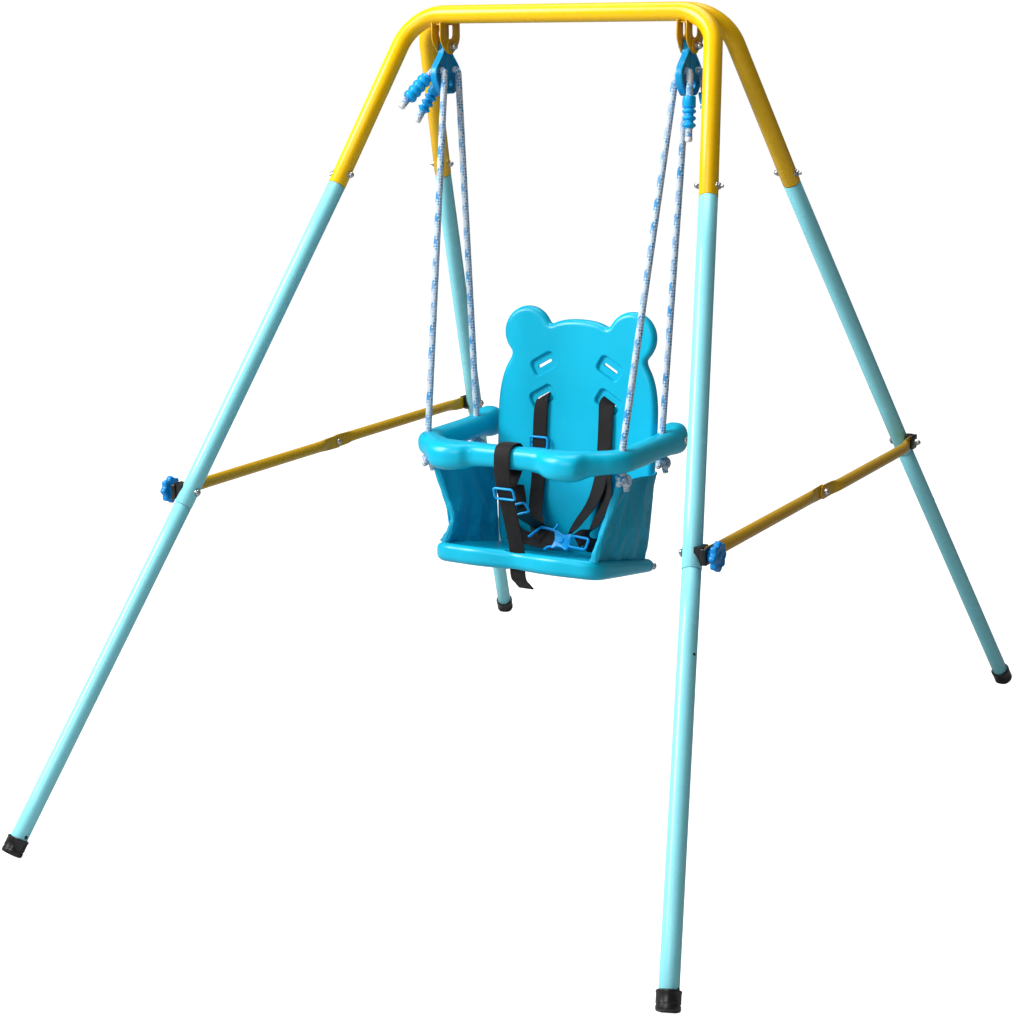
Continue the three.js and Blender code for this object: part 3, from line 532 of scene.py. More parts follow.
def braided_rope(name, strands=8, pitch=0.0044):
    """Diamond braid of fine strands. Blue ones wind round it in bands, each crossing stands proud, and the
    white strands carry painted shade in the grooves between them.
    """
    s = Shader(name)
    forward, back = braid_steps(s, strands, pitch)
    crossing = s.math("ADD", s.math("FLOOR", forward), s.math("FLOOR", back))
    over = s.math("ABSOLUTE", s.math("MODULO", crossing, 2.0))
    under = s.math("SUBTRACT", 1.0, over)
    own = s.math("FLOORED_MODULO", s.math("FLOOR", forward), float(strands))
    other = s.math("FLOORED_MODULO", s.math("FLOOR", back), float(strands))
    forward_blue = s.math("MULTIPLY", s.math("LESS_THAN", own, strands * 0.5 - 0.5), over)
    back_blue = s.math("MULTIPLY", s.math("LESS_THAN", other, strands * 0.375 - 0.5), under)
    blue = s.math("ADD", forward_blue, back_blue)
    worn = s.mapped(s.noise(70, 2), 0.35, 0.6, 0.35, 1.0)
    crown = s.math("MULTIPLY", s.math("SINE", s.math("MULTIPLY", s.math("FRACT", forward), math.pi)),
                   s.math("SINE", s.math("MULTIPLY", s.math("FRACT", back), math.pi)))
    # Painted shade: the white strands turn blue-grey towards the grooves between crossings, following the
    # same crown as the bump.
    white = s.mix(crown, (0.42, 0.55, 0.68, 1), (0.84, 0.87, 0.90, 1))
    s.set(Base_Color=s.mix(s.math("MULTIPLY", blue, worn), white, (0.01, 0.28, 0.64, 1)))
    s.set(Roughness=0.62, Sheen_Weight=0.2)
    fibres = s.math("MULTIPLY", s.noise(2600, 2), 0.3)
    s.bump(s.math("ADD", crown, fibres), 0.9, 0.0008)
    return s.material


def webbing(name, width=0.032):
    """Black polyester webbing: twill ribs across the band."""
    s = Shader(name)
    length, across = s.uv()
    rib = s.math("SINE", s.math("MULTIPLY", length, 2 * math.pi / 0.0016))
    twill = s.math("SINE", s.math("ADD", s.math("MULTIPLY", length, 2 * math.pi / 0.0032),
                                  s.math("MULTIPLY", across, 2 * math.pi * width * 2 / 0.0032)))
    weave = s.math("ADD", s.math("MULTIPLY", rib, 0.5), s.math("MULTIPLY", twill, 0.5))
    wear = s.mapped(s.noise(55, 5), 0.4, 0.75, 0.0, 1.0)
    dark = s.mix(wear, (0.004, 0.0035, 0.0035, 1), (0.012, 0.010, 0.010, 1))
    s.set(Base_Color=s.mix(s.mapped(weave, -1, 1, 0, 0.4), dark, (0.024, 0.021, 0.020, 1)))
    s.set(Roughness=0.7, Specular_IOR_Level=0.25, Sheen_Weight=0.05, Sheen_Roughness=0.4)
    s.bump(weave, 0.5, 0.0003)
    return s.material


def woven(name, colour):
    """Coated woven polyester: a plain weave with slow shading drift and a soft sheen."""
    s = Shader(name)
    along, across = s.uv()
    warp = s.math("SINE", s.math("MULTIPLY", along, 2 * math.pi / 0.0011))
    weft = s.math("SINE", s.math("MULTIPLY", across, 2 * math.pi / 0.0011))
    weave = s.math("MULTIPLY", warp, weft)
    drift = s.mapped(s.noise(16, 4), 0.3, 0.7, 0.0, 1.0)
    cloth = s.mix(drift, shade(colour, 0.88), shade(colour, 1.08))
    s.set(Base_Color=s.mix(s.mapped(weave, -1, 1, 0, 0.25), cloth, shade(colour, 0.6)))
    s.set(Roughness=0.55, Specular_IOR_Level=0.25, Sheen_Weight=0.04, Sheen_Roughness=0.35)
    s.bump(s.math("ADD", s.math("MULTIPLY", weave, 0.4), s.noise(130, 4)), 0.22, 0.0008)
    return s.material


YELLOW = powder_coat("yellow_powder_coat", (0.92, 0.53, 0.0))
AQUA = powder_coat("aqua_powder_coat", (0.25, 0.70, 0.79))
BLACK = rubber("black_rubber")
ZINC = zinc("zinc_plate")
BLUE = moulded("blue_moulding", (0.0, 0.21, 0.57), 0.30)
SKY_BLUE = moulded("sky_blue_moulding", (0.0, 0.29, 0.62), 0.30)
LIGHT_BLUE = moulded("light_blue_moulding", (0.0, 0.37, 0.84), 0.28)
SEAT = moulded("seat_moulding", (0.0, 0.46, 0.68), 0.30, scatter=0.05)
# Darker copy of the yellow powder coat, used on the braces, hinge lugs and welds: painted shade for parts
# that sit in shade.
YELLOW_PAINTED_SHADE = powder_coat("yellow_powder_coat_painted_shade", (0.60, 0.34, 0.004))
CLOTH = woven("side_cloth", (0.0, 0.38, 0.60))
WEBBING = webbing("black_webbing")
ROPE = braided_rope("braided_rope")
ROPE_TIP = moulded("melted_rope_end", (0.80, 0.82, 0.84), 0.35)


# ---- fasteners -----------------------------------------------------------------------------------
def hexagon(angle, radius):
    """Scale that turns a circle into a hexagon of the same corner radius."""
    return math.cos(math.pi / 6) / math.cos((angle % (math.pi / 3)) - math.pi / 6)


def dome_nut(name, origin, direction, radius=4.6, height=4.5):
    """Acorn nut: a hexagon base under a round dome."""
    base = lathe("base", [(0, 0), (radius, 0), (radius, height * 0.75), (radius * 0.86, height * 0.85),
                          (0, height * 0.85)], origin, direction, 36, hexagon)
    dome = [(radius * 0.82 * math.cos(a), height * 0.8 + radius * 0.9 * math.sin(a))
            for a in (math.radians(15 * i) for i in range(7))]
    crown = lathe("crown", [(0, height * 0.7), (radius * 0.82, height * 0.7)] + dome, origin, direction)
    return smooth(join(name, [smooth(base), smooth(crown)]))


def pan_head(name, origin, direction, radius=5.0, height=3.4):
    """Round bolt head, lowest at its origin, with a washer under it."""
    profile = [(0, 0), (radius * 1.25, 0), (radius * 1.25, 0.9), (radius, 1.0)]
    profile += [(radius * math.cos(a), 1.0 + height * math.sin(a))
                for a in (math.radians(15 * i) for i in range(1, 6))]
    profile += [(0, 1.0 + height)]
    return smooth(lathe(name, profile, origin, direction))


def shank(name, start, end, radius):
    return smooth(sweep(name, [start, end], radius * MM, 18))


# ---- frame tubes ---------------------------------------------------------------------------------
def tube(name, points, radius):
    """Open steel tube with a rolled lip at its free ends."""
    directions = tangents(points)
    wall = TUBE_WALL * MM
    first, last = points[0], points[-1]
    lip = 0.5 * MM
    spots = [first + directions[0] * wall, first, first + directions[0] * lip] + points[1:-1]
    spots += [last - directions[-1] * lip, last, last - directions[-1] * wall]
    radii = [radius - wall, radius - wall * 0.4, radius] + [radius] * (len(points) - 2)
    radii += [radius, radius - wall * 0.4, radius - wall]
    across = directions[0].orthogonal().normalized()
    rings = []
    steady = [directions[0]] * 3 + directions[1:-1] + [directions[-1]] * 3
    for spot, direction, reach in zip(spots, steady, radii):
        across = (across - direction * across.dot(direction)).normalized()
        rings.append(round_ring(spot, across, direction.cross(across), reach, 36))
    return smooth(loft(name, rings), 50)


def straight(start, end, steps=6):
    return [start.lerp(end, i / steps) for i in range(steps + 1)]


def build_half_frame(end):
    body = f"{end}_frame"
    corners = [at(LEG[1], -1, end), at(LEG[0], -1, end), at(LEG[0], 1, end), at(LEG[1], 1, end)]
    top = tube(f"{end}_crossbar", bent_path(corners, BEND_RADIUS, 16), TUBE_RADIUS * MM)
    piece(top, body, YELLOW, [f"{end}_top_tube"])
    for name, side in SIDES.items():
        label = f"{end}_{name}"
        joints = [at(point, side, end) for point in LEG]
        middle = tube(f"{label}_middle_leg", straight(toward(joints[1], joints[2], 0.8), joints[2]),
                      MIDDLE_LEG_RADIUS * MM)
        piece(middle, body, AQUA, [f"{label}_middle_tube"])
        lower = tube(f"{label}_lower_leg", straight(toward(joints[2], joints[3], 0.8), joints[3]),
                     LOWER_LEG_RADIUS * MM)
        piece(lower, body, AQUA, [f"{label}_lower_tube"])
        build_joint_screw(label, body, side, toward(joints[1], joints[0], SCREW_ABOVE_JOINT))
        build_foot_cap(label, body, joints)
        build_leg_button(f"{label}_foot_button", body, toward(joints[3], joints[2], CAP_LENGTH + 3.6),
                         Vector((-ENDS[end], ENDS[end] * 0.12, 0)))
        build_leg_button(f"{label}_leg_button", body, joints[2].lerp(joints[3], 0.2),
                         Vector((side * 0.9, ENDS[end] * 0.43, 0)))
        build_lug(label, body, side, end)


def build_joint_screw(label, body, side, place):
    """Cross screw: a domed head on the inner side, a washer, nut and screw end on the outer side."""
    out = Vector((side, 0, 0))
    reach = (TUBE_RADIUS - 0.8) * MM
    parts = [
        shank("bolt", place - out * reach, place + out * (reach + 9 * MM), 2.4),
        dome_nut("head", place - out * reach, -out, 5.6, 5.4),
        lathe("washer", [(0, 0), (6.4, 0), (6.4, 1.2), (0, 1.2)], place + out * reach, out),
        lathe("nut", [(0, 1), (4.9, 1), (4.9, 4.4), (4.2, 5), (0, 5)], place + out * reach, out, 36, hexagon),
    ]
    screw = join(f"{label}_joint_screw", [smooth(part) for part in parts])
    piece(screw, body, ZINC, [f"{label}_tube_screw"])


def build_foot_cap(label, body, joints):
    """Ribbed rubber cap, trimmed flat where it stands on the floor."""
    axis = (joints[2] - joints[3]).normalized()
    r = CAP_RADIUS
    profile = [(0, 0), (r - 2.5, 0), (r - 0.7, 0.8), (r, 2.6), (r, 7), (r - 0.7, 7.8), (r - 0.7, 9),
               (r, 9.8), (r, CAP_LENGTH - 4), (r + 0.5, CAP_LENGTH - 3.2), (r + 0.5, CAP_LENGTH - 1),
               (r - 0.4, CAP_LENGTH), (r - 2.6, CAP_LENGTH), (r - 2.8, CAP_LENGTH - 3)]
    cap = lathe(f"{label}_rubber_foot", profile, joints[3], axis, 40)
    with editing(cap) as bm:
        everything = bm.verts[:] + bm.edges[:] + bm.faces[:]
        bmesh.ops.bisect_plane(bm, geom=everything, plane_co=(0, 0, 0), plane_no=Z, clear_inner=True)
        bmesh.ops.holes_fill(bm, edges=[edge for edge in bm.edges if edge.is_boundary])
    piece(smooth(cap), body, BLACK, [f"{label}_foot_cap"])


def build_leg_button(name, body, place, facing):
    """Small dark locating button that stands out of the lower leg."""
    spot = place + facing.normalized() * (TUBE_RADIUS - 1.8) * MM
    profile = [(0, 0), (3.1, 0), (3.1, 1.2), (2.4, 1.8), (1.2, 2.2), (0, 2.3)]
    piece(smooth(lathe(name, profile, spot, facing, 20)), body, BLACK)


# ---- hinge lugs and pivot bolts ------------------------------------------------------------------
def lug_outline():
    """One lug plate in (y, z) about the pivot: a strap from the crossbar that ends in a round eye."""
    points = [(-28, 37.5), (-28, 16)]
    eye = arc(0, 0, 12, 222, 440, 20)
    points += bezier((-28, 16), (-27.4, 4), (-16, -4), eye[0], 7)[:-1]
    points += eye
    points += bezier(eye[-1], (-3, 12.2), (-7, 13), (-7, 22), 6)
    return points + [(-7, 37.5)]


def build_lug(label, body, side, end):
    inside = LUG_INSIDE[end]
    outline = [(y * -ENDS[end], z) for y, z in lug_outline()]
    centre = Vector((side * HANGER_X * MM, PIVOT.y, PIVOT.z))
    plates = [prism("plate", outline, inside, inside + LUG_PLATE, 0.7),
              prism("plate", outline, -inside - LUG_PLATE, -inside, 0.7)]
    web = [(y * -ENDS[end], z) for y, z in ((-22, 33.2), (-22, 35.4), (-9, 35.4), (-9, 33.2))]
    plates.append(prism("web", web, -inside - 1, inside + 1, 0.5))
    lug = turned(join(f"{label}_pivot_lug", [smooth(plate) for plate in plates]), Matrix.Translation(centre))
    piece(lug, body, YELLOW_PAINTED_SHADE, [f"{label}_hinge_lug"])
    build_weld(label, body, side, end, inside)


def build_weld(label, body, side, end, inside):
    """Beads where the two plates meet the crossbar."""
    beads = []
    top = at(LEG[0], 1, end)
    for plate in (-1, 1):
        x = side * HANGER_X + plate * (inside + LUG_PLATE / 2)
        points = []
        for i in range(13):
            angle = math.radians(237 + 5.5 * i)
            reach = (TUBE_RADIUS + 0.3) * MM
            ripple = 0.25 * MM * math.sin(i * 2.6)
            y = top.y + reach * math.cos(angle)
            z = top.z + reach * math.sin(angle)
            points.append(Vector((x * MM + ripple, y, z)))
        low = PIVOT.z + 20 * MM
        points = [point for point in points if point.z > low]
        beads.append(smooth(sweep("bead", points, 1.5 * MM, 10)))
    piece(join(f"{label}_lug_weld", beads), body, YELLOW_PAINTED_SHADE)


def build_pivot_bolts():
    for name, side in SIDES.items():
        centre = Vector((side * HANGER_X * MM, PIVOT.y, PIVOT.z))
        out = X
        reach = (LUG_INSIDE["rear"] + LUG_PLATE + 0.3) * MM
        parts = [
            shank("bolt", centre - out * reach, centre + out * (reach + 5 * MM), PIVOT_BOLT_RADIUS),
            pan_head("head", centre - out * reach, -out, 6.6, 4.2),
            dome_nut("nut", centre + out * reach, out, 6.6, 6.4),
        ]
        piece(join(f"{name}_hinge_bolt", parts), "front_frame", ZINC, [f"{name}_pivot_bolt"])


# ---- braces --------------------------------------------------------------------------------------
def build_link(name, body, side, start_y, end_y, planes, nodes):
    """Round tube pressed flat at both ends, with rounded eyes. planes: outward place of each end."""
    length = abs(end_y - start_y) / MM
    direction = 1 if end_y > start_y else -1
    first, last, tube_plane = planes
    eye, half = 11.4, BRACE_PLATE / 2
    stations = []
    for i in range(7):
        angle = math.radians(90 * i / 6)
        stations.append((-eye * math.cos(angle), max(eye * math.sin(angle), 1.0), half, first))
    stations += [(BRACE_FLAT - 3, 10.6, half, first), (BRACE_FLAT + 3, 9.8, 4.6, None),
                 (BRACE_FLAT + 10, BRACE_TUBE_RADIUS, BRACE_TUBE_RADIUS - 0.3, tube_plane)]
    stations += [(length * k / 4, BRACE_TUBE_RADIUS, BRACE_TUBE_RADIUS, tube_plane) for k in (1, 2, 3)]
    mirrored_end = [(length - y, width, thick, {first: last}.get(plane, plane))
                    for y, width, thick, plane in stations[:10]]
    stations += list(reversed(mirrored_end))
    rings = []
    for y, width, thick, plane in stations:
        if plane is None:
            plane = (tube_plane + (first if y < length / 2 else last)) / 2
        centre = Vector((side * (BRACE.x + plane * MM), start_y + direction * y * MM, BRACE.z))
        power = 2.0 if thick > 8 else 3.2
        rings.append(rounded_ring(centre, Z, X, width * MM, thick * MM, power, 32))
    link = subdivide(smooth(loft(name, rings), 50))
    piece(smooth(link, 50), body, YELLOW_PAINTED_SHADE, nodes)


def build_braces():
    front_plane = FRONT_PLATE_INSIDE + BRACE_PLATE / 2
    rear_plane = REAR_PLATE_INSIDE + BRACE_PLATE / 2
    overlap_plane = front_plane + BRACE_PLATE + 0.3
    rear_tube = REAR_PLATE_INSIDE + BRACE_TUBE_RADIUS
    for name, side in SIDES.items():
        build_link(f"{name}_front_link_bar", f"{name}_front_link", side, BRACE.y, 0.0,
                   (front_plane, front_plane, front_plane), [f"{name}_front_brace"])
        build_link(f"{name}_rear_link_bar", f"{name}_rear_link", side, 0.0, -BRACE.y,
                   (overlap_plane, rear_plane, rear_tube), [f"{name}_rear_brace"])
        build_brace_fasteners(name, side)
        for end in ENDS:
            build_cover(name, side, end)
        build_knob(name, side)


def build_cover(name, side, end):
    """Black cover outside a brace eye, with a cheek that closes the side facing away from the brace."""
    inside = (FRONT_PLATE_INSIDE if end == "front" else REAR_PLATE_INSIDE) + BRACE_PLATE + 0.2
    plate = [(-12.5, -9), (-9.5, -12), (11, -12), (12.5, -10.5), (12.5, 10.5), (11, 12), (-12.5, 12)]
    cheek = [(12.3, -11.5), (14.4, -11), (14.4, 11), (12.3, 11.5)]
    bolt = Vector((side * BRACE.x, BRACE.y * -ENDS[end], BRACE.z))
    parts = []
    for outline, low in ((plate, inside), (cheek, inside - BRACE_PLATE - 1)):
        points = [(y * ENDS[end], z) for y, z in outline]
        spans = sorted((side * low, side * (inside + COVER)))
        parts.append(smooth(prism("part", points, *spans, 0.9)))
    cover = turned(join(f"{end}_{name}_brace_cover", parts), Matrix.Translation(bolt))
    piece(cover, f"{end}_frame", BLACK)


def build_brace_fasteners(name, side):
    out = Vector((side, 0, 0))
    inner_reach = (TUBE_RADIUS + 0.4) * MM
    front = Vector((side * BRACE.x, BRACE.y, BRACE.z))
    rear = Vector((side * BRACE.x, -BRACE.y, BRACE.z))
    middle = Vector((side * BRACE.x, 0, BRACE.z)) + out * (FRONT_PLATE_INSIDE - 0.3) * MM
    knob_bolt = [shank("bolt", front - out * inner_reach, front + out * 32 * MM, BRACE_BOLT_RADIUS),
                 pan_head("head", front - out * inner_reach, -out, 5.2, 4.2)]
    piece(join(f"{name}_knob_screw", knob_bolt), "front_frame", ZINC, [f"{name}_knob_bolt"])
    rear_face = rear + out * (REAR_PLATE_INSIDE - 0.3) * MM
    rear_bolt = [shank("bolt", rear - out * inner_reach, rear_face, BRACE_BOLT_RADIUS),
                 pan_head("head", rear - out * inner_reach, -out, 5.2, 4.2)]
    piece(join(f"{name}_rear_brace_screw", rear_bolt), "rear_frame", ZINC, [f"{name}_brace_bolt"])
    outer = rear + out * (REAR_PLATE_INSIDE + BRACE_PLATE + COVER + 0.4) * MM
    nut = [shank("bolt", rear + out * REAR_PLATE_INSIDE * MM, outer + out * 3 * MM, BRACE_BOLT_RADIUS),
           dome_nut("nut", outer, out, 5.2, 7.5)]
    piece(join(f"{name}_rear_brace_cap_nut", nut), f"{name}_rear_link", ZINC, [f"{name}_brace_nut"])
    stack = (2 * BRACE_PLATE + 0.6) * MM
    rivet = [shank("bolt", middle, middle + out * (stack + 2 * MM), BRACE_BOLT_RADIUS),
             pan_head("head", middle, -out, 4.6, 2.8), dome_nut("nut", middle + out * stack, out, 4.8, 4.4)]
    piece(join(f"{name}_middle_rivet", rivet), f"{name}_front_link", ZINC, [f"{name}_brace_rivet"])


def build_knob(name, side):
    """Star knob with eight soft lobes, a stepped hub and a dished face."""
    def lobes(angle, radius):
        return 1 + 0.10 * math.cos(8 * angle) * min(max((radius - 11) / 6, 0), 1)

    r = KNOB_RADIUS - 1.8
    profile = [(0, 0), (9, 0), (9.6, 0.6), (9.6, 5.4), (12, 6.2), (r - 2.4, 6.4), (r - 0.7, 7.1), (r, 8.6),
               (r, 13.6), (r - 0.7, 15.2), (r - 2.6, 16.2), (r - 5, 16.4), (r - 6.4, 15.2), (6, 14.6),
               (5, 15.6), (3.4, 16.0), (0, 16.0)]
    origin = Vector(JOINTS[f"{name}_knob_spin"]["pos_m"])
    origin.x = side * (BRACE.x + (FRONT_PLATE_INSIDE + BRACE_PLATE + COVER + 0.5) * MM)
    knob = lathe(f"{name}_star_knob", profile, origin, Vector((side, 0, 0)), 96, lobes)
    piece(smooth(knob, 60), f"{name}_knob_turn", BLUE, [f"{name}_knob"])


def finish_saddles():
    """The CAD saddles keep their shape and get softened edges and the rubber material."""
    for end in ENDS:
        for name in SIDES:
            saddle = frame["nodes"][f"{end}_{name}_brace_saddle"]
            paint(saddle, BLACK)
            softened = saddle.modifiers.new("soft_edges", "BEVEL")
            softened.width = 1.1 * MM
            softened.segments = 2
            softened.angle_limit = math.radians(35)


# ---- hangers, ropes and adjusters ----------------------------------------------------------------
def hanger_outline(inset):
    """Pear-shaped outline in (y, z) about the pivot, drawn inside the hanger's edge."""
    top, half, foot = 11 - inset, 38 - inset, 17 - inset
    base = -73 + inset
    right = bezier((top, 0), (top, -16), (half, -24), (half, -42), 12)
    right += bezier((half, -42), (half, -54), (foot + 7, base), (foot, base), 7)
    left = [(-y, z) for y, z in reversed(right)]
    return arc(0, 0, top, 180, 0, 13)[:-1] + [(top, 0)] + right + left[:-1]


def build_hanger(name, side):
    half = HANGER_THICKNESS / 2
    layers = [(0, 2.3), (0.0, half - 1.4), (0.5, half - 0.4), (1.6, half), (3.6, half), (4.7, half - 0.5),
              (5.2, half - 1.6), (5.8, 2.6)]
    centre = (0.0, -40.0)
    rings = []
    for inset, x in reversed(layers):
        rings.append([V(-x, y, z) for y, z in hanger_outline(inset)])
    for inset, x in layers:
        rings.append([V(x, y, z) for y, z in hanger_outline(inset)])
    inner = hanger_outline(layers[-1][0])
    shrink = [(centre[0] + (y - centre[0]) * 0.5, centre[1] + (z - centre[1]) * 0.5) for y, z in inner]
    rings.insert(0, [V(-2.5, y, z) for y, z in shrink])
    rings.append([V(2.5, y, z) for y, z in shrink])
    plate = loft(f"{name}_rope_hanger", rings)
    holes = [(-ROPE_HOLE["y"], -ROPE_HOLE["drop"]), (ROPE_HOLE["y"], -ROPE_HOLE["drop"])]
    holes += [(-11, -57), (11, -57)]
    tools = [sweep("tool", [V(-20, y, z), V(20, y, z)], HANGER_HOLE * MM, 28) for y, z in holes]
    cut(plate, tools)
    boss = [(HANGER_HOLE, -3.6), (7.4, -3.6), (7.9, -3.1), (7.9, 3.1), (7.4, 3.6), (HANGER_HOLE, 3.6)]
    bosses = [lathe("boss", boss, V(0, y, z), X, 28) for y, z in holes]
    rim = half - 0.7
    hub = [(0, -half), (10.2, -half), (10.9, -rim), (10.9, rim), (10.2, half), (0, half)]
    hub = lathe("hub", hub, Vector(), X, 36)
    rib_outline = [(-2.2, -8), (2.2, -8), (1.6, -48), (-1.6, -48)]
    rib = prism("rib", rib_outline, -half + 1.6, half - 1.6, 0.6)
    parts = [smooth(part) for part in [plate, hub, rib] + [open_ring(boss) for boss in bosses]]
    hanger = turned(join(f"{name}_rope_hanger_plate", parts),
                    Matrix.Translation(Vector((side * HANGER_X * MM, PIVOT.y, PIVOT.z))))
    piece(hanger, "swing", SKY_BLUE, [f"{name}_hanger"])


def open_ring(obj):
    """Removes the two end faces of a turned ring and joins its first and last edges instead."""
    with editing(obj) as bm:
        ends = [face for face in bm.faces if len(face.verts) > 4]
        bmesh.ops.delete(bm, geom=ends, context="FACES_ONLY")
        bmesh.ops.bridge_loops(bm, edges=[edge for edge in bm.edges if edge.is_boundary])
    return obj


def rope_points(end, side):
    x, y = SEAT_ROPE[end]
    hole = V(side * HANGER_X, ENDS[end] * ROPE_HOLE["y"], -ROPE_HOLE["drop"]) + Vector((0, PIVOT.y, PIVOT.z))
    stand_off = (HANGER_THICKNESS / 2 + ROPE_RADIUS + 0.2) * MM
    return {
        "knot": V(side * x, y, BAR_Z - 26),
        "above": V(side * x, y, BAR_Z + 22),
        "inner": hole - Vector((side * stand_off, 0, 0)),
        "outer": hole + Vector((side * stand_off, 0, 0)),
    }


def build_rope(end, name, side):
    label = f"{end}_{name}"
    spots = rope_points(end, side)
    down = Vector(JOINTS[f"{label}_adjuster_slide"]["axis"]).normalized()
    start = ADJUSTER_START[label]
    tail = start + ADJUSTER_LENGTH + TAIL_BEYOND_ADJUSTER
    tip = spots["outer"] + down * tail * MM
    corners = [spots["knot"], spots["above"], spots["inner"], spots["outer"], tip]
    path = bent_path(corners, ROPE_RADIUS + 1.2, 7)
    rope = smooth(sweep(f"{label}_braided_rope", path, ROPE_RADIUS * MM, 28), 60)
    piece(rope, "swing", ROPE, [f"{label}_rope"])
    melted = [(0, -1.4), (5.5, -1.4), (5.8, 0), (5.6, 3), (4.2, 5), (0, 5.6)]
    piece(smooth(lathe(f"{label}_rope_tip", melted, tip, down, 24)), "swing", ROPE_TIP)
    build_knot(label, spots["knot"])
    build_adjuster(label, spots["outer"] + down * start * MM, down)


def build_knot(label, place):
    """Stopper knot under the guard bar: a trefoil of rope drawn tight, with a short end."""
    size = 3.1
    points = []
    for i in range(72):
        t = 2 * math.pi * i / 72
        across = size * (math.sin(t) + 2 * math.sin(2 * t))
        along = size * (math.cos(t) - 2 * math.cos(2 * t))
        points.append(place + V(across, along, -4 - size * 1.5 * math.sin(3 * t)))
    knot = smooth(sweep("knot", points, 4.6 * MM, 18, loop=True), 60)
    stub = smooth(sweep("stub", [place + V(2, 2, -4), place + V(4, 5, -20)], 4.6 * MM, 18), 60)
    piece(join(f"{label}_stopper_knot", [knot, stub]), "swing", ROPE)


def build_adjuster(label, origin, down):
    """Ribbed sleeve: a plain collar and soft discs, or ribs along its whole length."""
    bore = ROPE_RADIUS + 0.3
    ribbed = label == "front_left"
    collar = 4 if ribbed else 17
    rings = 4 if ribbed else 3
    disc = 11.2 if ribbed else 10.3
    neck = 9.2 if ribbed else 6.7
    pitch = (ADJUSTER_LENGTH - collar) / rings
    profile = [(bore, 0), (8.6, 0), (9.6, 0.8), (9.6, collar - 1.2), (8.6, collar), (neck, collar + 0.6)]
    for i in range(rings):
        middle = collar + pitch * (i + 0.5)
        half = pitch * (0.36 if ribbed else 0.3)
        profile.append((neck, middle - half - 0.8))
        for degrees in range(-80, 81, 20):
            angle = math.radians(degrees)
            profile.append((neck + (disc - neck) * math.cos(angle), middle + half * math.sin(angle)))
        profile.append((neck, middle + half + 0.8))
    profile += [(neck - 0.6, ADJUSTER_LENGTH), (bore, ADJUSTER_LENGTH)]
    sleeve = smooth(open_ring(lathe(f"{label}_ribbed_sleeve", profile, origin, down, 36)), 50)
    piece(sleeve, f"{label}_slider", LIGHT_BLUE, [f"{label}_rope_adjuster"])


# ---- guard bar -----------------------------------------------------------------------------------
# Right half of the bar from its middle to its rear end: inner edge, outer edge, height above and below BAR_Z
BAR_STATIONS = [
    ((0, -167), (0, -203), 17, 18), ((34, -167), (34, -203), 17, 18),
    ((58, -166), (58, -204.5), 17.5, 20), ((76, -166), (74, -214), 18, 24.5),
    ((98, -165), (99, -219), 18.5, 27), ((114, -160), (126, -212), 18.5, 26),
    ((126, -153), (139, -193), 18, 21), ((137, -145), (154, -178), 17.5, 18.5),
    ((146, -136), (171, -164), 17.5, 18), ((151, -124), (184.5, -146), 17.5, 18),
    ((153, -104), (188.5, -119), 17.5, 18), ((153, -50), (189, -50), 17.5, 18),
    ((153, 0), (189, 0), 18, 18.5), ((152, 24), (189, 24), 21, 20),
    ((148, 44), (189, 44), 26, 22.5), ((147, 58), (189, 58), 27, 23),
]


def build_guard_bar():
    right = smooth_path([(Vector(inner), Vector(outer), above, below)
                         for inner, outer, above, below in BAR_STATIONS], 5)
    inner, outer, above, below = right[-1]
    for step in range(1, 5):
        angle = math.radians(22 * step)
        shrink = math.cos(angle)
        centre = (inner + outer) / 2
        push = Vector((0, 13 * math.sin(angle)))
        right.append((centre + (inner - centre) * (0.45 + 0.55 * shrink) + push,
                      centre + (outer - centre) * (0.45 + 0.55 * shrink) + push,
                      above * (0.4 + 0.6 * shrink), below * (0.4 + 0.6 * shrink)))
    rings = []
    for side, half in ((1, list(reversed(right))), (-1, right[1:])):
        for inner, outer, above, below in half:
            near, far = (Vector((side * p.x, p.y)) for p in (inner, outer))
            centre = ((near + far) / 2).to_3d() * MM + V(0, 0, BAR_Z + (above - below) / 2)
            across = (far - near).normalized().to_3d()
            half_across = (far - near).length / 2 * MM
            half_up = (above + below) / 2 * MM
            rings.append(rounded_ring(centre, across, Z, half_across, half_up, 2.7, 36))
    bar = subdivide(smooth(loft("guard_bar_shell", rings), 60))
    hole = (ROPE_RADIUS + 0.7) * MM
    tools = [sweep("tool", [V(side * x, y, BAR_Z - 50), V(side * x, y, BAR_Z + 50)], hole, 24)
             for x, y in SEAT_ROPE.values() for side in SIDES.values()]
    cut(bar, tools)
    piece(smooth(bar, 40), "swing", SEAT, ["guard_bar"])
    for name, side in SIDES.items():
        out = Vector((side, 0, 0))
        bolt = pan_head(f"{name}_bar_bolt", V(side * 188.4, 54, BAR_Z), out, 5.2, 3.2)
        piece(bolt, "swing", ZINC)


# ---- backrest ------------------------------------------------------------------------------------
def back_outline():
    """Outline in (x, z): round ears over a body that is widest at the guard bar."""
    right = [(0, 729)] + bezier((0, 729), (24, 729), (38, 725), (46, 721), 8)
    right += bezier((46, 721), (51, 718.6), (54, 719), (57, 725), 4)[:-1]
    right += arc(93.5, 704, 42, 149, -43, 26)
    right += bezier(right[-1], (119, 670), (120.5, 666), (124, 659), 4)
    right += bezier((124, 659), (139, 636), (143.5, 606), (143, 566), 10)
    right += bezier((143, 566), (142.5, 500), (140, 440), (136, 385), 10)
    right += bezier((136, 385), (134, 352), (124, 342), (104, 341), 6)
    left = [(-x, z) for x, z in reversed(right) if x > 0]
    return right + left


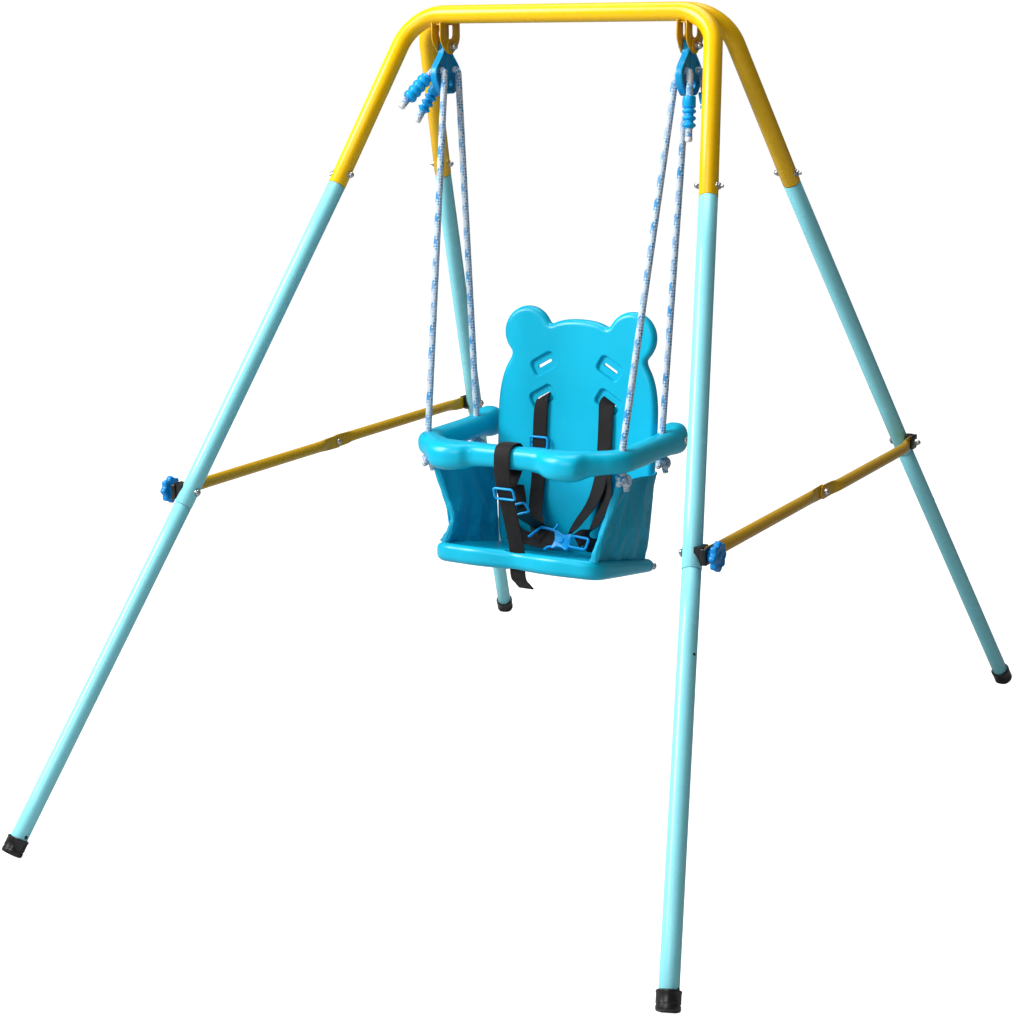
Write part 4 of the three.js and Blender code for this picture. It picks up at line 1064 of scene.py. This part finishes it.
def offset_outline(outline, distance):
    """Outline moved inwards along its normals. The outline runs clockwise seen from the front."""
    moved = []
    count = len(outline)
    for i, (x, z) in enumerate(outline):
        before, after = outline[i - 1], outline[(i + 1) % count]
        dx, dz = after[0] - before[0], after[1] - before[1]
        length = math.hypot(dx, dz)
        moved.append((x + dz / length * distance, z - dx / length * distance))
    return moved


def panel_point(x, depth, z):
    """Point of the leaning panel: depth runs back from the front face."""
    return V(x, back_face(z) + depth, z)


def stadium(width, height, corner, count=7):
    """Rounded rectangle about the origin."""
    across, up = width / 2 - corner, height / 2 - corner
    points = []
    for cx, cz, start in ((1, 1, 0), (-1, 1, 90), (-1, -1, 180), (1, -1, 270)):
        points += arc(cx * across, cz * up, corner, start, start + 90, count)
    return points


def slot_tool(sections):
    """One tool for all four strap openings, from (width, height, corner, depth) sections."""
    tools = []
    for side in SIDES.values():
        turn = side * -SLOT_TURN
        for z in SLOT_Z.values():
            rings = []
            for width, height, corner, depth in sections:
                ring = []
                for px, pz in stadium(width, height, corner):
                    x = side * SLOT_X + px * math.cos(turn) - pz * math.sin(turn)
                    ring.append(panel_point(x, depth, z + px * math.sin(turn) + pz * math.cos(turn)))
                rings.append(ring)
            tools.append(loft("tool", rings))
    return join("slot_tool", tools)


def build_backrest():
    outline = back_outline()
    radius = 8.5
    layers = quarter_round(radius, 7)
    layers += [(inset, BACK_THICKNESS - depth) for inset, depth in reversed(layers)]
    rings = []
    inner = offset_outline(outline, radius + 2)
    for scale in (0.35, 0.8, 1):
        rings.append([panel_point(x * scale, 0, 560 + (z - 560) * scale) for x, z in inner])
    for inset, depth in layers:
        rings.append([panel_point(x, depth, z) for x, z in offset_outline(outline, inset)])
    for scale in (1, 0.8, 0.35):
        rings.append([panel_point(x * scale, BACK_THICKNESS, 560 + (z - 560) * scale) for x, z in inner])
    panel = loft("backrest_panel", rings)
    front_recess = [(49, 32, 9.5, -1), (46.6, 29.6, 8.6, 0.5), (44.4, 27.4, 7.8, 1.4),
                    (43, 26, 7, 3.2), (42.4, 25.4, 6.8, 5.4)]
    rear_recess = [(50, 33, 10, 21), (47, 30, 8.8, 19.6), (45, 28, 8, 18.4), (43, 26, 7, 9)]
    slot = [(27, 4.6, 2.2, -3), (27, 4.6, 2.2, 40)]
    for sections in (front_recess, rear_recess, slot):
        cut(panel, [slot_tool(sections)])
    piece(smooth(panel, 30), "swing", SEAT, ["backrest"])


# ---- seat pan ------------------------------------------------------------------------------------
def pan_outline():
    """Plan of the pan: two soft lobes at the front, rounded corners and a straight back."""
    right = [(0, -170)] + bezier((0, -170), (20, -170), (40, -181), (72, -181), 9)
    right += bezier((72, -181), (88, -181), (98, -178), (112, -177), 5)
    right += bezier((112, -177), (134, -176), (148, -166), (148, -144), 7)
    right += bezier((148, -144), (148, -80), (144, -20), (143, 30), 7)
    right += bezier((143, 30), (142.5, 44), (137, 50), (123, 50), 6)
    right += [(80, 50), (40, 50)]
    left = [(-x, y) for x, y in reversed(right) if x > 0]
    return right + [(0, 50)] + left


def build_pan():
    outline = pan_outline()
    radius = 11
    layers = [(radius + 24, -3.5), (radius + 9, -3), (radius + 4, -1.2)]
    layers += [(inset, -drop) for inset, drop in quarter_round(radius, 6)]
    rings = []

    def ring(points, drop, lower=False):
        placed = []
        for x, y in points:
            thickness = 31 - 10 * (y - PAN_FRONT) / 226
            height = pan_top(y) - (thickness + drop if lower else -drop)
            placed.append(V(x, y, height))
        return placed

    def shrunk(points, scale):
        return [(x * scale, -64 + (y + 64) * scale) for x, y in points]

    core = offset_outline(outline, -layers[0][0])
    for scale, drop in ((0.3, -7), (0.7, -5.5)):
        rings.append(ring(shrunk(core, scale), drop))
    for inset, drop in layers:
        rings.append(ring(offset_outline(outline, -inset), drop))
    for inset, drop in reversed(layers[3:]):
        rings.append(ring(offset_outline(outline, -inset), drop * 0.9, lower=True))
    rings.append(ring(shrunk(core, 0.7), 0, lower=True))
    rings.append(ring(shrunk(core, 0.3), 0, lower=True))
    pan = loft("seat_pan_shell", rings)
    slot = [V(-18, -166, 300), V(18, -166, 300), V(18, -155, 300), V(-18, -155, 300)]
    top = [point + V(0, 0, 160) for point in slot]
    cut(pan, [loft("tool", [slot, top])])
    piece(smooth(pan, 40), "swing", SEAT, ["seat_pan"])
    for name, side in SIDES.items():
        place = V(side * 142.4, 38, pan_top(38) - 11)
        bolt = pan_head(f"{name}_pan_bolt", place, Vector((side, 0, 0)), 4.6, 2.8)
        piece(bolt, "swing", ZINC)


# ---- fabric sides --------------------------------------------------------------------------------
CLOTH_COLUMNS = 56
CLOTH_ROWS = 44
CLOTH_LENGTH = 0.165
CLOTH_HEIGHT = 0.125
CLOTH_FRAMES = 24
# Front edge of each side panel from pan to bar, on the right: the left one is pulled further back
SLEEVE = {
    "right": [(134, -160, 392), (140, -154, 418), (148, -147, 450), (158, -139, 486), (165, -135, 516)],
    "left": [(140, -146, 389), (134, -134, 408), (133, -128, 430), (146, -128, 462), (164, -130, 514)],
}


def sleeve_points(name):
    return [V(x * SIDES[name], y, z) for (x, y, z) in smooth_path(SLEEVE[name], 8)]


def cloth_point(name, u, v):
    """Rest shape of a side panel: u runs from the front sleeve to the backrest, v from pan to top."""
    side = SIDES[name]
    edge = sleeve_points(name)
    spot = v * (len(edge) - 1)
    low = min(int(spot), len(edge) - 2)
    front = edge[low].lerp(edge[low + 1], spot - low)
    rear_z = pan_top(22) - 2 + (500 - pan_top(22)) * v
    rear = V(side * (134 + 12 * v), back_face(rear_z) + 6, rear_z)
    point = front.lerp(rear, u)
    middle = math.sin(math.pi * u)
    gather = math.exp(-u * 7) * math.sin(v * 19 + u * 9 + side) * 1.3
    folds = 5.0 * noise.noise(Vector((u * 4.0 + v * 2.0, v * 1.6, 4.0 + side)))
    creases = 0.7 * noise.noise(Vector((u * 11.0, v * 5.0 + u * 4.0, 9.0 + side)))
    belly = middle * math.sin(math.pi * min(v * 1.15, 1)) * 4
    point.x += side * (belly + gather + (folds + creases) * middle) * MM
    point.z -= middle * v * v * 5 * MM
    if v < 0.01:
        point.z = (pan_top(point.y / MM) - 3) * MM
    return point


def simulate_sheet(obj, pinned, frames):
    """Lets the sheet settle with its pinned edges held, then keeps the result."""
    group = obj.vertex_groups.new(name="pinned")
    group.add(pinned, 1.0, "REPLACE")
    modifier = obj.modifiers.new("cloth", "CLOTH")
    settings = modifier.settings
    settings.vertex_group_mass = "pinned"
    settings.quality = 6
    settings.mass = 0.25
    settings.tension_stiffness = 18
    settings.compression_stiffness = 6
    settings.shear_stiffness = 4
    settings.bending_stiffness = 2.5
    settings.shrink_min = -0.022
    settings.effector_weights.gravity = 0.0
    settings.pin_stiffness = 1.0
    scene = bpy.context.scene
    scene.frame_start = 1
    scene.frame_end = frames
    modifier.point_cache.frame_start = 1
    modifier.point_cache.frame_end = frames
    for step in range(1, frames + 1):
        scene.frame_set(step)
    apply_modifiers(obj)
    obj.vertex_groups.clear()
    scene.frame_set(1)


def build_side_cloth(name, side):
    bm = bmesh.new()
    uv_layer = bm.loops.layers.uv.new("UVMap")
    grid = [[bm.verts.new(cloth_point(name, i / CLOTH_COLUMNS, j / CLOTH_ROWS))
             for i in range(CLOTH_COLUMNS + 1)] for j in range(CLOTH_ROWS + 1)]
    for j in range(CLOTH_ROWS):
        for i in range(CLOTH_COLUMNS):
            face = bm.faces.new((grid[j][i], grid[j][i + 1], grid[j + 1][i + 1], grid[j + 1][i]))
            for corner, (a, b) in zip(face.loops, ((i, j), (i + 1, j), (i + 1, j + 1), (i, j + 1))):
                corner[uv_layer].uv = (a / CLOTH_COLUMNS * CLOTH_LENGTH, b / CLOTH_ROWS * CLOTH_HEIGHT)
    sheet = to_object(f"{name}_side_cloth", bm)
    width = CLOTH_COLUMNS + 1
    pinned = [j * width + i for j in range(CLOTH_ROWS + 1) for i in range(width)
              if i < 1 or i > CLOTH_COLUMNS - 1 or j < 1]
    simulate_sheet(sheet, pinned, CLOTH_FRAMES)
    thick = sheet.modifiers.new("thickness", "SOLIDIFY")
    thick.thickness = 1.3 * MM
    thick.offset = 0
    apply_modifiers(sheet)
    subdivide(sheet)
    piece(smooth(sheet, 70), "swing", CLOTH, [f"{name}_side_fabric"])
    build_sleeve(name, side)
    build_hem(name, sheet)


def build_hem(name, sheet):
    """Rolled hem along the sheet's free top edge, taken from the settled cloth."""
    highest = {}
    for vertex in sheet.data.vertices:
        key = round(vertex.co.y / (4 * MM))
        if key not in highest or vertex.co.z > highest[key].z:
            highest[key] = vertex.co.copy()
    points = [highest[key] for key in sorted(highest)]
    softened = [sum(points[max(i - 1, 0):i + 2], Vector()) / len(points[max(i - 1, 0):i + 2])
                for i in range(len(points))]
    softened = [point - V(0, 0, 1.2) for point in softened]
    hem = smooth(sweep(f"{name}_side_hem", softened, 2.1 * MM, 14), 70)
    piece(hem, "swing", CLOTH)


def build_sleeve(name, side):
    """Gathered sleeve round the cord at the panel's front edge."""
    path = smooth_path([tuple(point) for point in sleeve_points(name)], 3)
    points = [Vector(point) for point in path]
    count, sides_count = len(points), 40
    directions = tangents(points)
    rings = []
    for i, (point, direction) in enumerate(zip(points, directions)):
        t = 1 - i / (count - 1)
        across = (X - direction * direction.x).normalized()
        up = direction.cross(across)
        gather = 1 + 0.05 * math.sin(t * 23 + side) + 0.04 * math.sin(t * 51 + 1.3)
        mouth = 1.2 if i > count - 4 else 1.0
        ring = []
        for k in range(sides_count):
            angle = 2 * math.pi * k / sides_count
            pleat = 1 + 0.07 * math.sin(3 * angle + t * 9) + 0.03 * math.sin(7 * angle - t * 17)
            radius = (5.2 + 1.8 * t) * gather * pleat * mouth * MM
            ring.append(point + across * radius * math.cos(angle) + up * radius * math.sin(angle))
        rings.append(ring)
    sleeve = smooth(loft(f"{name}_gathered_sleeve", rings), 80)
    piece(sleeve, "swing", CLOTH)


# ---- harness -------------------------------------------------------------------------------------
def strap(name, run, width):
    """Flat band along (place, across) pairs, with rounded edges and a UV map across its width."""
    path = smooth_path(run, 6)
    places = [place for place, _ in path]
    rings = []
    for place, direction, (_, across) in zip(places, tangents(places), path):
        across = (across - direction * across.dot(direction)).normalized()
        up = direction.cross(across)
        rings.append(rounded_ring(place, across, up, width / 2 * MM, STRAP_THICKNESS / 2 * MM, 5, 20))
    return smooth(loft(name, rings), 60)


def rounded_loop(width, height, corner):
    return [V(x, 0, z) for x, z in stadium(width, height, corner, 5)]


def tri_glide(name, place, turn, strap_width, height):
    """Strap slider in its own XZ plane: a rounded frame, and a bar that steps back behind the strap."""
    width, behind = strap_width + 7, 6.2
    rim = smooth(sweep("rim", rounded_loop(width, height, 4), 1.9 * MM, 14, loop=True))
    ends = [V(-width / 2, 0, 0), V(-strap_width / 2, behind, 0)]
    ends += [V(strap_width / 2, behind, 0), V(width / 2, 0, 0)]
    bar = smooth(sweep("bar", bent_path(ends, 2.5, 3), 1.7 * MM, 12))
    glide = turned(join(name, [rim, bar]), Matrix.Translation(place) @ turn.to_matrix().to_4x4())
    piece(glide, "swing", LIGHT_BLUE)


def build_crotch_strap():
    """Round the front of the guard bar, down to the pan, through its slot and out as a short tail."""
    run = [(-132, 328), (-144, 338), (-157, 350), (-160.5, 372), (-162, 398), (-178, 445),
           (-200, 500), (-206, 524), (-207.5, 546), (-204, 562), (-194, 568.2), (-184, 568.6),
           (-172, 567.5), (-163.5, 560), (-162.5, 545), (-166, 526), (-184, 506), (-196, 492)]
    band = strap("crotch_strap_band", [(V(CROTCH_X, y, z), X) for y, z in run], 27)
    piece(band, "swing", WEBBING, ["crotch_strap"])
    tilt = Euler((math.radians(22), 0, 0)).to_quaternion()
    tri_glide("crotch_strap_slider", V(CROTCH_X, -200.6, 493), tilt, 27, 19)
    flat = Vector((0.8, 0.3, 0.2))
    run = [(V(8, -168, 502), X), (V(9, -164, 482), X), (V(7, -158, 462), Vector((0.9, 0.1, -0.3)))]
    run += [(V(*place), flat) for place in
            ((-5, -128, 444), (-19, -90, 428), (-28, -56, 415), (-29, -32, 402), (-20, -27, 386))]
    piece(strap("crotch_link_band", run, 20), "swing", WEBBING)
    turn = Euler((math.radians(26), math.radians(-18), 0)).to_quaternion()
    tri_glide("crotch_link_slider", V(7, -163, 463), turn, 20, 18)


def build_shoulder_strap(name, side):
    """Down from the lower slot along the backrest to the buckle."""
    slope = Vector((math.cos(SLOT_TURN), 0, -side * math.sin(SLOT_TURN)))
    low = SLOT_Z["lower"]
    bx, by = BUCKLE
    face = back_face(low)
    run = [(V(side * 42, face + 24, low + 2), slope), (V(side * 56, face + 18, low + 2), slope),
           (V(side * 58, face + 6, low), slope), (V(side * 58, face - 2, low - 5), slope),
           (V(side * 59, back_face(580) - 5, 578), slope.lerp(X, 0.5)),
           (V(side * 59, back_face(540) - 5.5, 538), X)]
    rising = Vector((0.2, 0.6, 0.75))
    if name == "left":
        run += [(V(-58, back_face(480) - 6, 480), X), (V(-59, back_face(440) - 9, 438), X),
                (V(-50, -6, 410), Vector((0.9, 0.1, 0.3))), (V(-30, -26, 392), rising),
                (V(bx - 12, by + 4, 386), rising)]
    else:
        run += [(V(58, back_face(490) - 8, 490), Vector((1, -0.1, 0.1))),
                (V(48, back_face(450) - 14, 446), Vector((1, -0.2, 0.3))),
                (V(30, -12, 410), Vector((0.9, -0.2, 0.4))), (V(bx + 10, by + 8, 392), rising)]
    return strap(f"{name}_shoulder_strap", run, 25)


def build_strap_tail():
    """Loose end of the right shoulder strap, folded back beside it from under the guard bar."""
    bx, by = BUCKLE
    run = [(V(57, back_face(520) - 5, 520), X),
           (V(64, back_face(490) - 9, 490), Vector((1, -0.2, 0.1))),
           (V(68, back_face(450) - 10, 452), Vector((1, -0.3, 0.3))),
           (V(64, -12, 416), Vector((0.9, -0.3, 0.4))),
           (V(58, -30, 400), Vector((0.5, 0.3, 0.8))),
           (V(bx + 26, by + 2, 389), Vector((0.2, 0.6, 0.75)))]
    return strap("right_strap_tail", run, 25)


def build_lap_strap(name, side):
    """From the buckle out to the corner where the backrest meets the pan."""
    bx, by = BUCKLE
    start = V(bx + 40, by + 6, 388) if side > 0 else V(bx - 8, by + 2, 381)
    run = [(start, Vector((0, 0.6, 0.75))),
           (V(side * 66, -22, pan_top(-22) + 15), Vector((0, 0.75, 0.6))),
           (V(side * 98, 8, 379), Vector((0, 0.7, 0.7))),
           (V(side * 114, 22, 372), Vector((-0.3 * side, 0.5, 0.8)))]
    return strap(f"{name}_lap_strap", run, 25)


def build_harness():
    build_crotch_strap()
    bands = []
    for name, side in SIDES.items():
        bands.append(build_shoulder_strap(name, side))
        bands.append(build_lap_strap(name, side))
    bands.append(build_strap_tail())
    behind = back_face(SLOT_Z["lower"]) + BACK_THICKNESS + 4
    run = [(V(x, behind, SLOT_Z["lower"] + 2), Z) for x in (-56, -30, 0, 30, 56)]
    bands.append(strap("yoke", run, 24))
    piece(join("harness_bands", bands), "swing", WEBBING, ["shoulder_straps"])
    upright = Euler((math.radians(-5), 0, 0)).to_quaternion()
    tri_glide("left_shoulder_slider", V(-58.5, back_face(528) - 8.6, 528), upright, 25, 19)
    build_buckle()


def build_buckle():
    """Centre-release buckle, propped up on the straps: a waisted body with a push button, an open
    V-shaped frame on the left and a strap loop on the right. Drawn in (x, z) and then leant back."""
    waist = [(-12, -16), (-3, -11), (4, -11), (13, -15), (17, -11), (14, 0), (17, 11), (13, 15),
             (4, 11), (-4, 12), (-13, 17), (-16, 12), (-11, 0)]
    body = turned(prism("body", waist, -3, 3, 1.4), Matrix.Rotation(math.radians(-90), 4, "Z"))
    button = lathe("button", [(0, 0), (5.4, 0), (5.4, 1.4), (4.6, 2.2), (0, 2.4)], V(0, -2.8, 0), -Y, 28)
    rod = 2.1 * MM
    bends = [V(-8, 0, 11), V(-20, 0, 16), V(-43, 0, 17), V(-58, 0, -4)]
    wide_frame = sweep("frame", bent_path(bends, 4, 4), rod, 12)
    lower = sweep("lower", [V(-8, 0, -10), V(-20, 0, -15), V(-24, 0, -20)], rod, 12)
    tip = sweep("tip", [V(-20, 0, 16), V(-17, 0, 22), V(-16, 0, 27)], rod, 12)
    loop = sweep("loop", rounded_loop(30, 19, 4), rod, 12, loop=True)
    turned(loop, Matrix.Translation(V(30, 0, 3)))
    buckle = join("harness_clasp", [smooth(part) for part in [body, button, wide_frame, lower, tip, loop]])
    bx, by = BUCKLE
    lean = Euler((math.radians(-38), math.radians(4), 0)).to_matrix().to_4x4()
    turned(buckle, Matrix.Translation(V(bx + 4, by - 6, 388)) @ lean)
    piece(buckle, "swing", LIGHT_BLUE, ["harness_buckle"])


# ---- studio --------------------------------------------------------------------------------------
def camera_only(tree, strength):
    """Value that is the strength for camera rays and nothing for light and reflections."""
    path = tree.nodes.new("ShaderNodeLightPath")
    product = tree.nodes.new("ShaderNodeMath")
    product.operation = "MULTIPLY"
    product.inputs[1].default_value = strength
    tree.links.new(path.outputs["Is Camera Ray"], product.inputs[0])
    return product.outputs[0]


def build_floor():
    """Pale plain floor that looks evenly lit, as a white studio sweep does."""
    bm = bmesh.new()
    bmesh.ops.create_circle(bm, cap_ends=True, segments=96, radius=40)
    floor = to_object("studio_floor", bm)
    s = Shader("pale_floor")
    s.set(Base_Color=(0.42, 0.42, 0.42, 1), Roughness=0.95, Specular_IOR_Level=0.05)
    s.set(Emission_Color=(1, 1, 1, 1), Emission_Strength=camera_only(s.tree, 0.96))
    paint(floor, s.material)


SURROUND = 0.15


def area_light(name, place, target, size, power, colour=(1, 1, 1)):
    data = bpy.data.lights.new(name, "AREA")
    data.shape = "RECTANGLE"
    data.size, data.size_y = size
    data.energy = power
    data.color = colour
    light = bpy.data.objects.new(name, data)
    light.location = place
    light.rotation_euler = (Vector(target) - Vector(place)).to_track_quat("-Z", "Y").to_euler()
    bpy.context.scene.collection.objects.link(light)


def build_world():
    """White backdrop for the camera, and a dim surround for light and reflections."""
    world = bpy.data.worlds.new("studio")
    bpy.context.scene.world = world
    world.use_nodes = True
    tree = world.node_tree
    background = tree.nodes["Background"]
    background.inputs["Color"].default_value = (1, 1, 1, 1)
    strength = tree.nodes.new("ShaderNodeMath")
    strength.operation = "ADD"
    strength.inputs[1].default_value = SURROUND
    tree.links.new(camera_only(tree, 1 - SURROUND), strength.inputs[0])
    tree.links.new(strength.outputs[0], background.inputs["Strength"])


def build_lights():
    area_light("key", (-2.5, -2.6, 2.9), (0, 0, 0.7), (1.6, 2.2), 262)
    area_light("fill", (0.3, -4.6, 2.4), (0, 0, 0.6), (1.8, 1.8), 50)
    area_light("top", (-0.4, 0.4, 3.9), (0, 0, 0.6), (2.2, 2.2), 62)


def build_camera():
    """Camera at the photograph's angle. Its values are the rounded result of a camera solve."""
    data = bpy.data.cameras.new("camera")
    data.lens = 71.6
    data.sensor_width = 36
    data.shift_x = -0.0241
    data.shift_y = -0.0040
    camera = bpy.data.objects.new("camera", data)
    camera.location = (1.4717, -2.8158, 1.1669)
    camera.rotation_euler = Euler((math.radians(77.07), math.radians(0.36), math.radians(28.46)))
    bpy.context.scene.collection.objects.link(camera)
    bpy.context.scene.camera = camera


# ---- build ---------------------------------------------------------------------------------------
for half in ENDS:
    build_half_frame(half)
build_pivot_bolts()
build_braces()
finish_saddles()
for side_name, side_sign in SIDES.items():
    build_hanger(side_name, side_sign)
    for rope_end in ENDS:
        build_rope(rope_end, side_name, side_sign)
build_guard_bar()
build_backrest()
build_pan()
for side_name, side_sign in SIDES.items():
    build_side_cloth(side_name, side_sign)
build_harness()
build_floor()
build_world()
build_lights()
build_camera()
bpy.context.scene.view_settings.view_transform = "Standard"
